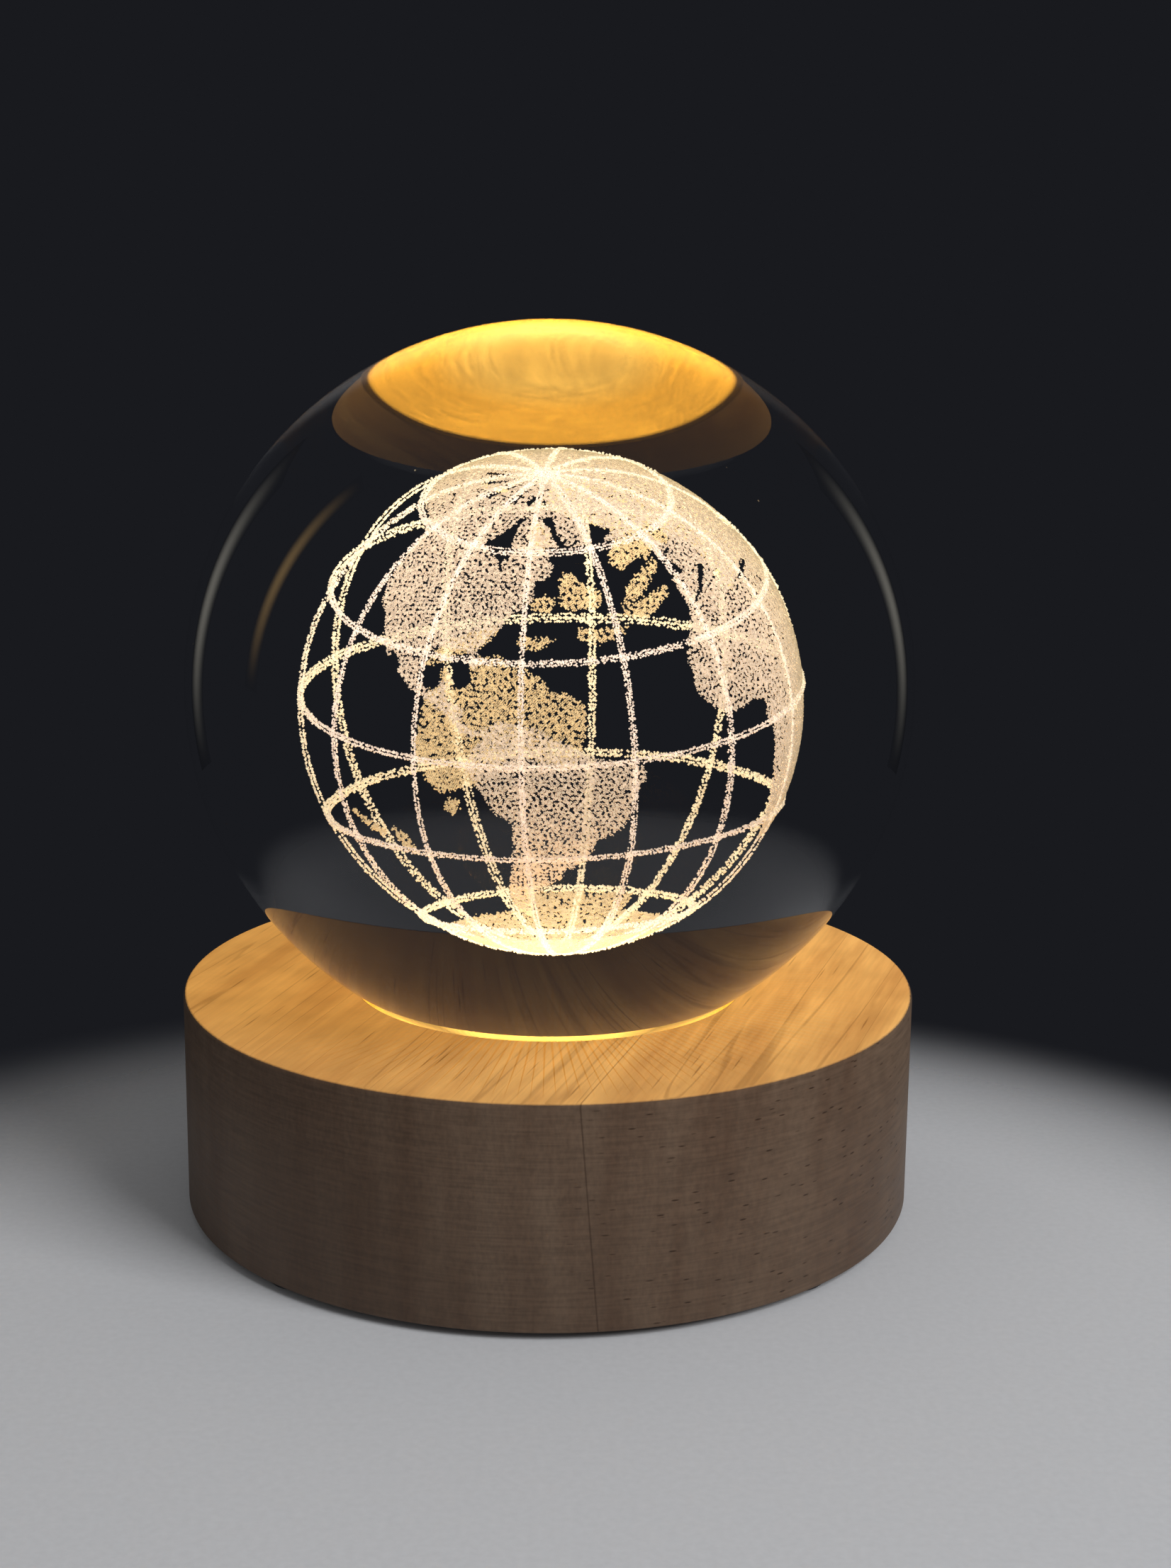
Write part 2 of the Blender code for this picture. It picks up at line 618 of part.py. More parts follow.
def board_screw_places():
    """Place of each board screw, with the height of the board face that its head bears on."""
    led_seat = BOARD_TOP - LED_BOARD_THICKNESS
    inlet_seat = BOARD_TOP - INLET_BOARD_THICKNESS
    y = INLET_BOARD_START + INLET_BOARD_SCREW_EDGE
    led_places = around(2, LED_BOARD_SCREW_REACH, LED_BOARD_SCREW_ANGLE)
    places = [(x, y, led_seat) for x, y, _ in led_places]
    places += [(side * INLET_BOARD_SCREW_SPREAD, y, inlet_seat) for side in (1, -1)]
    return places


def bottom_cover(plastic):
    shape = disc(COVER_RADIUS, WOOD_BOTTOM, WOOD_BOTTOM + COVER_THICKNESS, BASE_STEPS, COVER_CHAMFER)
    cuts = []
    head = COVER_SCREW_HEAD_RADIUS + FIT_GAP
    shank = COVER_SCREW_SHANK_RADIUS + FIT_GAP
    seat = WOOD_BOTTOM + COVER_SCREW_HEAD_HEIGHT + FIT_GAP
    for x, y, _ in cover_screw_places():
        past = WOOD_BOTTOM + COVER_THICKNESS + OVERRUN
        profile = [(0, WOOD_BOTTOM - OVERRUN), (head, WOOD_BOTTOM - OVERRUN), (head, WOOD_BOTTOM)]
        profile += [(shank, seat), (shank, past), (0, past)]
        cuts.append(moved(turned(profile, SCREW_STEPS), (x, y, 0)))
    return place("bottom_cover", combine(shape, cuts), plastic)


def cross_slot(reach, depth):
    """Two crossed bars that cut a screw head's cross."""
    size = (2 * reach, SCREW_SLOT_WIDTH, 2 * depth)
    turned_size = (SCREW_SLOT_WIDTH, 2 * reach, 2 * depth)
    return combine(block(size, (0, 0, 0)), [block(turned_size, (0, 0, 0))], "UNION")


def countersunk_screw():
    """A countersunk screw whose head faces down at height zero."""
    head = COVER_SCREW_HEAD_RADIUS
    shank = COVER_SCREW_SHANK_RADIUS
    profile = [(0, 0), (head, 0), (shank, COVER_SCREW_HEAD_HEIGHT)]
    profile += [(shank, COVER_SCREW_LENGTH - SCREW_TIP_LENGTH), (0, COVER_SCREW_LENGTH)]
    slot = cross_slot(COVER_SCREW_SHANK_RADIUS, SCREW_SLOT_DEPTH)
    return combine(turned(profile, SCREW_STEPS), [slot])


def pan_screw():
    """A pan-head screw that points up, with the underside of its head at height zero."""
    head = BOARD_SCREW_HEAD_RADIUS
    shank = BOARD_SCREW_SHANK_RADIUS
    crown = BOARD_SCREW_HEAD_HEIGHT / 2
    profile = [(0, -BOARD_SCREW_HEAD_HEIGHT)]
    profile += arc(head - crown, -BOARD_SCREW_HEAD_HEIGHT + crown, crown, -90, 0)
    profile += [(head, 0), (shank, 0), (shank, BOARD_SCREW_LENGTH - SCREW_TIP_LENGTH)]
    profile += [(0, BOARD_SCREW_LENGTH)]
    slot = moved(cross_slot(shank, SCREW_SLOT_DEPTH), (0, 0, -BOARD_SCREW_HEAD_HEIGHT))
    return combine(turned(profile, SCREW_STEPS), [slot])


def screws(steel):
    for index, (x, y, _) in enumerate(cover_screw_places(), 1):
        place(f"cover_screw_{index}", countersunk_screw(), steel, location=(x, y, WOOD_BOTTOM))
    names = ("led_board_screw_1", "led_board_screw_2", "inlet_board_screw_1", "inlet_board_screw_2")
    for name, (x, y, seat) in zip(names, board_screw_places()):
        place(name, pan_screw(), steel, location=(x, y, seat - FIT_GAP))


def led_board(laminate):
    bottom = BOARD_TOP - LED_BOARD_THICKNESS
    shape = disc(LED_BOARD_RADIUS, bottom, BOARD_TOP, LED_BOARD_STEPS)
    hole = BOARD_SCREW_SHANK_RADIUS + FIT_GAP
    cuts = []
    for x, y, _ in board_screw_places()[:2]:
        cuts.append(moved(disc(hole, bottom - OVERRUN, BOARD_TOP + OVERRUN, SCREW_STEPS), (x, y, 0)))
    return place("led_board", combine(shape, cuts), laminate)


def leds(ceramic):
    """Flat light-emitting diodes in a circle, each with a shallow dish of phosphor."""
    for index, (x, y, angle) in enumerate(around(LED_COUNT, LED_CIRCLE_RADIUS, 0), 1):
        size = (LED_WIDTH, LED_LENGTH, LED_HEIGHT)
        shape = block(size, (0, 0, LED_HEIGHT / 2))
        top = max(shape.faces, key=lambda face: face.calc_center_median().z)
        bmesh.ops.inset_region(shape, faces=[top], thickness=LED_RIM, use_even_offset=True)
        bmesh.ops.translate(shape, vec=(0, 0, -LED_DISH), verts=top.verts)
        made = place(f"led_{index}", shape, ceramic, location=(x, y, BOARD_TOP + FIT_GAP))
        made.rotation_euler.z = angle


def resistor(name, x, y, ceiling, finish):
    size = (RESISTOR_LENGTH, RESISTOR_WIDTH, RESISTOR_HEIGHT)
    shape = block(size, (0, 0, -RESISTOR_HEIGHT / 2), RESISTOR_EDGE)
    place(name, shape, finish, location=(x, y, ceiling - FIT_GAP))


def resistors(finish):
    led_face = BOARD_TOP - LED_BOARD_THICKNESS
    for index in range(3):
        resistor(f"led_resistor_{index + 1}", (index - 1) * RESISTOR_PITCH, -RESISTOR_SETBACK, led_face, finish)
    inlet_face = BOARD_TOP - INLET_BOARD_THICKNESS
    for index in range(2):
        y = socket_start() + PULL_DOWN_SETBACK + index * PULL_DOWN_PITCH
        resistor(f"inlet_resistor_{index + 1}", LANE_MIDDLE, y, inlet_face, finish)


def button_mouth():
    """Where the rear panel's outer face crosses the button's axis."""
    return math.sqrt(PANEL_OUTER_RADIUS**2 - SWITCH_OFFSET**2)


def button_back():
    """Inner end of the button's cap at rest, just inside the panel's inner corner."""
    corner = SWITCH_OFFSET + BUTTON_RADIUS
    return math.sqrt(PANEL_INNER_RADIUS**2 - corner**2) - FIT_GAP


def switch_front():
    return button_back() - BUTTON_TRAVEL - FIT_GAP


def inlet_board_end():
    """The inlet board stops short of where the pressed button's cap reaches."""
    return button_back() - BUTTON_TRAVEL - FIT_GAP


def socket_mouth():
    corner = SOCKET_OFFSET + SOCKET_WIDTH / 2
    return math.sqrt(PANEL_OUTER_RADIUS**2 - corner**2)


def socket_start():
    return socket_mouth() - SOCKET_LENGTH


def inlet_board(laminate):
    bottom = BOARD_TOP - INLET_BOARD_THICKNESS
    start, end = INLET_BOARD_START, inlet_board_end()
    size = (INLET_BOARD_WIDTH, end - start, INLET_BOARD_THICKNESS)
    shape = block(size, (0, (start + end) / 2, bottom + INLET_BOARD_THICKNESS / 2))
    hole = BOARD_SCREW_SHANK_RADIUS + FIT_GAP
    cuts = []
    for x, y, _ in board_screw_places()[2:]:
        cuts.append(moved(disc(hole, bottom - OVERRUN, BOARD_TOP + OVERRUN, SCREW_STEPS), (x, y, 0)))
    return place("inlet_board", combine(shape, cuts), laminate)


def socket(steel, plastic):
    """The power inlet: a drawn steel shell, open to the rear, round a contact tongue."""
    start, mouth = socket_start(), socket_mouth()
    outline = stadium(SOCKET_WIDTH, SOCKET_HEIGHT, -SOCKET_OFFSET, CONTROL_HEIGHT)
    shape = prism(outline, start, mouth)
    inner_width = SOCKET_WIDTH - 2 * SOCKET_WALL
    inner_height = SOCKET_HEIGHT - 2 * SOCKET_WALL
    hollow = stadium(inner_width, inner_height, -SOCKET_OFFSET, CONTROL_HEIGHT)
    back = start + SOCKET_WALL
    shape = combine(shape, [prism(hollow, back, mouth + OVERRUN)])
    place("inlet_socket_shell", shape, steel)
    size = (TONGUE_WIDTH, TONGUE_LENGTH, TONGUE_THICKNESS)
    centre = (-SOCKET_OFFSET, back + FIT_GAP + TONGUE_LENGTH / 2, CONTROL_HEIGHT)
    place("inlet_socket_tongue", block(size, centre, TONGUE_EDGE, "Y"), plastic)


def power_switch(plastic):
    """The switch body on the inlet board, with a bore for the button's plunger."""
    front = switch_front()
    size = (SWITCH_WIDTH, SWITCH_LENGTH, SWITCH_HEIGHT)
    centre = (SWITCH_OFFSET, front - SWITCH_LENGTH / 2, SOCKET_CEILING - SWITCH_HEIGHT / 2)
    shape = block(size, centre, SWITCH_EDGE, "Y")
    depth = PLUNGER_ENTRY + BUTTON_TRAVEL + FIT_GAP
    bore = rod(
        PLUNGER_RADIUS + FIT_GAP, front - depth, front + OVERRUN, SWITCH_OFFSET, CONTROL_HEIGHT, SCREW_STEPS
    )
    return place("power_switch", combine(shape, [bore]), plastic)


def power_button(plastic):
    """Cap and plunger in one piece. It slides along Y, and its origin lies on that axis."""
    mouth = button_mouth() + BUTTON_PROUD
    cap_length = mouth - button_back()
    plunger_end = switch_front() - PLUNGER_ENTRY
    profile = [(0, 0)]
    profile += [(BUTTON_RADIUS - BUTTON_ROUND, 0), (BUTTON_RADIUS, BUTTON_ROUND)]
    profile += [(BUTTON_RADIUS, cap_length), (PLUNGER_RADIUS, cap_length)]
    profile += [(PLUNGER_RADIUS, mouth - plunger_end), (0, mouth - plunger_end)]
    made = place("power_button", turned(profile, SWITCH_STEPS), plastic)
    made.location = (SWITCH_OFFSET, mouth, CONTROL_HEIGHT)
    made.rotation_euler.x = math.radians(90)


def leads(red, black):
    """Two leads that hang in a half loop from the inlet board to the light board."""
    start = INLET_BOARD_START + LEAD_INLET_EDGE
    end = LED_BOARD_RADIUS - LEAD_LED_EDGE
    start_top = BOARD_TOP - INLET_BOARD_THICKNESS - FIT_GAP
    end_top = BOARD_TOP - LED_BOARD_THICKNESS - FIT_GAP
    for name, side, finish in (("red_lead", 1, red), ("black_lead", -1, black)):
        points = []
        for step in range(LEAD_POINTS + 1):
            turn = math.pi * step / LEAD_POINTS
            share = (1 - math.cos(turn)) / 2
            y = start + (end - start) * share
            z = start_top + (end_top - start_top) * share - LEAD_DROP * math.sin(turn)
            points.append((LANE_MIDDLE + side * LEAD_SPREAD, y, z))
        place(name, tube(points, LEAD_RADIUS, LEAD_SIDE_STEPS), finish)


def build():
    clear_scene()
    wood = material("oiled_beech", (0.62, 0.36, 0.15), 0.55)
    black_plastic = material("black_moulded_plastic", (0.02, 0.02, 0.02), 0.45)
    frosted = material("frosted_acrylic", (0.95, 0.90, 0.80), 0.35, transmission=0.6, ior=1.49)
    laminate = material("white_board_laminate", (0.80, 0.80, 0.76), 0.45)
    green_laminate = material("green_board_laminate", (0.02, 0.20, 0.07), 0.40)
    steel = material("zinc_plated_steel", (0.60, 0.60, 0.62), 0.30, metallic=1.0)
    phosphor = material("led_phosphor", (0.95, 0.75, 0.30), 0.40)
    ceramic = material("black_ceramic", (0.04, 0.04, 0.05), 0.35)
    rubber = material("grey_silicone_rubber", (0.10, 0.10, 0.10), 0.75)
    red = material("red_insulation", (0.55, 0.02, 0.02), 0.45)
    black = material("black_insulation", (0.02, 0.02, 0.02), 0.45)

    crystal_ball()
    wooden_base(wood)
    light_window(frosted)
    led_board(laminate)
    leds(phosphor)
    resistors(ceramic)
    inlet_board(green_laminate)
    socket(steel, black_plastic)
    power_switch(black_plastic)
    power_button(black_plastic)
    rear_panel(black_plastic)
    leads(red, black)
    bottom_cover(black_plastic)
    screws(steel)
    feet(rubber)


build()
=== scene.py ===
"""Looks of the crystal ball lamp: its materials, its engraved globe, the studio and the camera."""

import math

import bmesh
import bpy
import numpy as np
from mathutils import Matrix, Vector


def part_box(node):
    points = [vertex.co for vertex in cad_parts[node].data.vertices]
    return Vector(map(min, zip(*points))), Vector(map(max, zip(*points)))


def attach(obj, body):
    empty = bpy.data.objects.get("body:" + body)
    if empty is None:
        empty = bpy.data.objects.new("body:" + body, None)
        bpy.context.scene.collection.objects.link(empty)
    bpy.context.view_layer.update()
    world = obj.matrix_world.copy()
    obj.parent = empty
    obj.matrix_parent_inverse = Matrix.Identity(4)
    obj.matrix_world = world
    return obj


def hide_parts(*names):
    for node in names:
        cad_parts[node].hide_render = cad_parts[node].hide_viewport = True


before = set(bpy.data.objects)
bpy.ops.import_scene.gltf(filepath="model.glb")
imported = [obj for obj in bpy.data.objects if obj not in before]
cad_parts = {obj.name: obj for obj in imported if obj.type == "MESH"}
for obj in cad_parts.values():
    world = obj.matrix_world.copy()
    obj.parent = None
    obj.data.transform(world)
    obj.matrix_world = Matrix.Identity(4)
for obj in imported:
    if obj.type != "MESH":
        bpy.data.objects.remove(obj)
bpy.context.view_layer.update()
MM = 0.001

# Places on the object, in millimetres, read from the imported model
base_low, base_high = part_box("wooden_base")
ball_low, ball_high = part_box("crystal_ball")
BASE_TOP = base_high.z / MM
BASE_BOTTOM = base_low.z / MM
BASE_RADIUS = base_high.x / MM
BALL_RADIUS = (ball_high.z - ball_low.z) / 2 / MM
BALL_CENTRE = (ball_high.z + ball_low.z) / 2 / MM
RECESS_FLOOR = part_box("light_window")[1].z / MM

# The turned block's cross-section, as radii and heights
RECESS_RADIUS = 21.8
EDGE_ROUND = 0.5
BOTTOM_CHAMFER = 0.4
WINDOW_BORE = 13.0
WINDOW_LEDGE = RECESS_FLOOR - 2.3
WELL_RADIUS = 11.0
POCKET_RADIUS = 28.0
POCKET_TOP = RECESS_FLOOR - 4.5
COVER_BORE = 33.0
COVER_LEDGE = 2.7
PANEL_SEAT_RADIUS = 37.7
TURNING_STEPS = 192

# The block's other cuts: bores for the feet and the cover's screws, as distance from the axis,
# turn, radius, lower and upper end, and two slabs at the rear
BORES = [(36.85, 45 + 90 * index, 3.5, BASE_BOTTOM - 1, 1.7) for index in range(4)]
BORES += [(30.35, -90 + 120 * index, 1.3, COVER_LEDGE - 1, 8.1) for index in range(3)]
PANEL_WINDOW = {"width": 26.6, "height": 9.6, "corner": 2.3, "start": 30.0, "end": 43.0, "z": 8.84}
# The bay ends a little above the pocket's ceiling, as faces in one plane don't always cut the same
INLET_BAY = {"width": 22.0, "height": 6.6, "corner": 0.02, "start": 14.0, "end": 38.0,
             "z": POCKET_TOP - 3.25}

# The glue joint between the two staves: its distance across the grain at the top of the block,
# and how far it moves to the right for each millimetre down the side
JOINT_OFFSET = 15.6
JOINT_LEAN = 0.076

# The engraved globe, with its pole leaning to the front and to the left
GLOBE_RADIUS = 18.4
GLOBE_CENTRE = np.array((0.12, 0, BALL_CENTRE - 1.2))
LEAN_FRONT = math.radians(7.05)
LEAN_LEFT = math.radians(1.88)
FRONT_LONGITUDE = -51.9
PARALLELS = (-58.5, -27.3, 0, 27.3, 58.5)
MERIDIANS = [-60.0 + 30 * index for index in range(12)]

# The laser's shots along a line: how far apart they are, what share of them leaves a crack, how
# far they stray in degrees and in millimetres, and the four rows they lie in, as offsets across
# the line and out of the globe
SHOT_STEP = 0.12
SHOT_SHARE = 0.72
LINE_WANDER = 0.12
LINE_SCATTER = 0.025
SHOT_ROWS = ((-0.2, -0.1), (-0.08, 0.14), (0.08, -0.14), (0.2, 0.1))
# The maze of strokes on the lands: places tried, waves summed, their length, the sums above which
# a place is kept on the near and the far half, how ragged the coasts are in degrees, and how far
# a place strays in millimetres
LAND_PLACES = 340000
MAZE_WAVES = 80
MAZE_LENGTH = 0.36
MAZE_LEVELS = (-4.3, -5.5)
RAGGED_COAST = 0.25
LAND_SCATTER = 0.012
# Sizes of the cracks, and the most triangles that one piece may have
LINE_CRACK = 0.095
LAND_CRACK = 0.075
MOST_TRIANGLES = 190000

# The photograph's camera: pitch, yaw and roll, its place, and lengths in the photograph's pixels
CAMERA_TURN = (12.97, 0.87, 0.53)
CAMERA_PLACE = (0, -262.2 * MM, 108.0 * MM)
FOCAL_PIXELS = 3400
PHOTO_HEIGHT = 2213
SENSOR_HEIGHT = 36


# ---- Materials ----


def hex_colour(text):
    """An sRGB hex value as linear red, green, blue and alpha."""
    parts = [int(text[index:index + 2], 16) / 255 for index in (1, 3, 5)]
    return (*(part / 12.92 if part <= 0.04045 else ((part + 0.055) / 1.055) ** 2.4
              for part in parts), 1.0)


def connect(tree, node, links):
    """Gives a node's inputs a value, a socket, or another node's first output in use."""
    for name, value in links.items():
        if isinstance(value, bpy.types.Node):
            value = next(socket for socket in value.outputs if socket.enabled)
        if isinstance(value, bpy.types.NodeSocket):
            tree.links.new(value, node.inputs[name])
        else:
            node.inputs[name].default_value = value


def add_node(tree, kind, links=None, **settings):
    """Adds a node with its settings, and with its inputs given by name or number."""
    made = tree.nodes.new(kind)
    for name, value in settings.items():
        setattr(made, name, value)
    connect(tree, made, links or {})
    return made


def start_material(name, colour, roughness, sockets=None):
    """A material with one Principled shader, its tree, that shader and the texture coordinates."""
    made = bpy.data.materials.new(name)
    made.use_nodes = True
    made.diffuse_color = hex_colour(colour)
    tree = made.node_tree
    shader = tree.nodes["Principled BSDF"]
    connect(tree, shader, {
        "Base Color": hex_colour(colour), "Roughness": roughness, **(sockets or {})})
    return made, tree, shader, add_node(tree, "ShaderNodeTexCoord").outputs


def drawn_out(tree, kind, place, stretch, size, **inputs):
    """A texture with a grain of the given size in millimetres, drawn out along the axes."""
    drawn = add_node(tree, "ShaderNodeMapping", {"Vector": place, "Scale": stretch})
    return add_node(tree, kind, {"Vector": drawn, "Scale": 1 / (size * MM), **inputs})


def optical_glass():
    """Optical glass, ground and polished: clear and sharp, with a few specks of dust."""
    # Crown glass has an index of 1.50 to 1.52, and the low end gives the amber cap its width
    made, tree, shader, places = start_material(
        "optical_glass_polished", "#FDFEFE", 0.0, {"IOR": 1.5, "Transmission Weight": 1.0})
    # Specks of 0.2 mm in cells of 7 mm, coarser than real dust so that they show
    cells = add_node(tree, "ShaderNodeTexVoronoi", {
        "Vector": places["Object"], "Scale": 1 / (7 * MM)})
    speck = add_node(tree, "ShaderNodeMapRange", {
        "Value": cells, "From Min": 0.012, "From Max": 0.020, "To Min": 0.5, "To Max": 0.0})
    connect(tree, shader, {"Roughness": speck})
    return made


def cracked_glass(name, front, back, brightness):
    """Glass cracked inside by a laser: a frost that glows white where the lamp's light meets it."""
    made, tree, shader, places = start_material(name, "#F4EAE0", 0.7)
    axes = add_node(tree, "ShaderNodeSeparateXYZ", {0: places["Object"]}).outputs
    # The painted glow takes the front colour on the near half and the back colour on the far half
    depth = add_node(tree, "ShaderNodeMapRange", {
        "Value": axes["Y"], "From Min": -6 * MM, "From Max": 6 * MM})
    tint = add_node(tree, "ShaderNodeMix", {
        "Factor": depth, 6: hex_colour(front), 7: hex_colour(back)}, data_type="RGBA")
    # The south pole is nearest the lamp, and the cap round the north pole catches its light again
    low = add_node(tree, "ShaderNodeMapRange", {
        "Value": axes["Z"], "From Min": (BALL_CENTRE - 19.6) * MM,
        "From Max": (BALL_CENTRE - 15.2) * MM, "To Min": 0.75, "To Max": 0.0})
    high = add_node(tree, "ShaderNodeMapRange", {
        "Value": axes["Z"], "From Min": (BALL_CENTRE - 10) * MM,
        "From Max": (BALL_CENTRE + 9) * MM, "To Min": 0.56, "To Max": 1.0})
    level = add_node(tree, "ShaderNodeMath", {0: low, 1: high}, operation="ADD")
    # Shots of the laser differ in strength from one 0.3 mm stretch to the next
    grain = add_node(tree, "ShaderNodeTexNoise", {
        "Vector": places["Object"], "Scale": 1 / (0.3 * MM), "Detail": 1.0})
    glow = add_node(tree, "ShaderNodeMapRange", {
        "Value": grain, "From Min": 0.35, "From Max": 0.65,
        "To Min": 0.65 * brightness, "To Max": 1.1 * brightness})
    strength = add_node(tree, "ShaderNodeMath", {0: glow, 1: level}, operation="MULTIPLY")
    connect(tree, shader, {"Emission Color": tint, "Emission Strength": strength})
    made.cycles.emission_sampling = "NONE"
    return made


def wood_marks(tree, place, lying, across, bands, top):
    """How dark the wood's open pores, flecks and thin lines are."""
    # Pores of the top, 0.2 mm across and up to 6 mm long, in cells of 0.9 mm; real ones are finer
    pores = drawn_out(tree, "ShaderNodeTexVoronoi", lying, (1, 0.045, 1), 0.9)
    pore = add_node(tree, "ShaderNodeMapRange", {
        "Value": pores, "From Min": 0.06, "From Max": 0.15, "To Min": 0.55, "To Max": 0.0})
    # Flecks of the side, up to 0.9 mm long and 0.2 mm high, in cells 2.9 mm wide and 0.7 mm high
    flecks = drawn_out(tree, "ShaderNodeTexVoronoi", place, (0.35, 0.35, 1.5), 1.0)
    fleck = add_node(tree, "ShaderNodeMapRange", {
        "Value": flecks, "From Min": 0.09, "From Max": 0.18, "To Min": 0.8, "To Max": 0.0})
    # The right stave has many flecks and the left one few
    crowd = add_node(tree, "ShaderNodeMapRange", {
        "Value": across, "From Min": (JOINT_OFFSET - 3) * MM, "From Max": (JOINT_OFFSET + 5) * MM,
        "To Min": 0.2, "To Max": 1.0})
    fleck = add_node(tree, "ShaderNodeMath", {0: fleck, 1: crowd}, operation="MULTIPLY")
    # Long thin lines of the top, 0.15 mm wide and some 3 mm apart, which follow the grain
    lines = drawn_out(tree, "ShaderNodeTexNoise", lying, (1, 0.025, 1), 3, Detail=1.0)
    line = add_node(tree, "ShaderNodeMath", {0: lines, 1: 0.5}, operation="SUBTRACT")
    line = add_node(tree, "ShaderNodeMath", {0: line}, operation="ABSOLUTE")
    line = add_node(tree, "ShaderNodeMapRange", {
        "Value": line, "From Min": 0.004, "From Max": 0.014, "To Min": 0.3, "To Max": 0.0})
    pore = add_node(tree, "ShaderNodeMath", {0: pore, 1: line}, operation="MAXIMUM")
    mark = add_node(tree, "ShaderNodeMix", {"Factor": top, 2: fleck, 3: pore})
    # Marks gather in some bands and are few in others
    gather = add_node(tree, "ShaderNodeMapRange", {
        "Value": bands, "From Min": 0.62, "From Max": 0.50, "To Min": 0.35, "To Max": 1.0})
    return add_node(tree, "ShaderNodeMath", {0: mark, 1: gather}, operation="MULTIPLY")


def glue_joint(tree, height, across):
    """How dark the glue joint is: a line 0.1 mm wide along the grain, leaning on the side."""
    joint = add_node(tree, "ShaderNodeMath", {0: height, 1: JOINT_LEAN, 2: across},
                     operation="MULTIPLY_ADD")
    joint = add_node(tree, "ShaderNodeMath", {
        0: joint, 1: -(JOINT_OFFSET + JOINT_LEAN * BASE_TOP) * MM}, operation="ADD")
    joint = add_node(tree, "ShaderNodeMath", {0: joint}, operation="ABSOLUTE")
    return add_node(tree, "ShaderNodeMapRange", {
        "Value": joint, "From Min": 0.03 * MM, "From Max": 0.12 * MM, "To Min": 0.5, "To Max": 0.0})


def lamplight(tree, place, spot, top, streak, wood):
    """The colour and strength of the lamp's light on the wood, over its top and in the recess."""
    flat = add_node(tree, "ShaderNodeCombineXYZ", {"X": spot["X"], "Y": spot["Y"]})
    reach = add_node(tree, "ShaderNodeVectorMath", {0: flat}, operation="LENGTH")
    in_recess = add_node(tree, "ShaderNodeMath", {0: reach, 1: (RECESS_RADIUS + 0.2) * MM},
                         operation="LESS_THAN")
    # Over the top it is a little weaker at the front
    spread = add_node(tree, "ShaderNodeMapRange", {
        "Value": spot["Y"], "From Min": -BASE_RADIUS * MM, "From Max": -5 * MM,
        "To Min": 1.5, "To Max": 2.35})
    on_top = add_node(tree, "ShaderNodeMath", {0: top, 1: spread}, operation="MULTIPLY")
    # In the recess it grows upwards and towards the front, by 1.4 and 0.6 a millimetre, and falls
    # off to the sides, so that the cap seen in the ball is evenly lit
    rise = add_node(tree, "ShaderNodeVectorMath", {0: place, 1: (0, -0.57 / MM, 1.4 / MM)},
                    operation="DOT_PRODUCT")
    side_fall = add_node(tree, "ShaderNodeMath", {0: spot["X"], 1: spot["X"]}, operation="MULTIPLY")
    inside = add_node(tree, "ShaderNodeMath", {0: side_fall, 1: -0.0160 / MM ** 2, 2: rise},
                      operation="MULTIPLY_ADD")
    inside = add_node(tree, "ShaderNodeMath", {0: inside, 1: 23.4}, operation="SUBTRACT")
    inside = add_node(tree, "ShaderNodeClamp", {"Value": inside, "Min": 1.3, "Max": 17.4})
    inside = add_node(tree, "ShaderNodeMath", {0: inside, 1: streak}, operation="MULTIPLY")
    # The rounded rim that the ball rests on glows less
    rim = add_node(tree, "ShaderNodeMapRange", {
        "Value": spot["Z"], "From Min": (BASE_TOP - 0.9) * MM, "From Max": (BASE_TOP - 0.45) * MM,
        "To Min": 1.0, "To Max": 0.05})
    inside = add_node(tree, "ShaderNodeMath", {0: inside, 1: rim}, operation="MULTIPLY")
    glow = add_node(tree, "ShaderNodeMix", {"Factor": in_recess, 2: on_top, 3: inside})
    lit = add_node(tree, "ShaderNodeMix", {"Factor": 1.0, 6: hex_colour("#FFD87C"), 7: wood},
                   data_type="RGBA", blend_type="MULTIPLY")
    # The amber is paler on the recess's floor, nearest the window, than up its wall
    height = add_node(tree, "ShaderNodeMapRange", {
        "Value": spot["Z"], "From Min": RECESS_FLOOR * MM, "From Max": (RECESS_FLOOR + 3) * MM})
    amber = add_node(tree, "ShaderNodeMix", {
        "Factor": height, 6: hex_colour("#FFC255"), 7: hex_colour("#FFB238")}, data_type="RGBA")
    light = add_node(tree, "ShaderNodeMix", {"Factor": in_recess, 6: lit, 7: amber},
                     data_type="RGBA")
    return light, glow


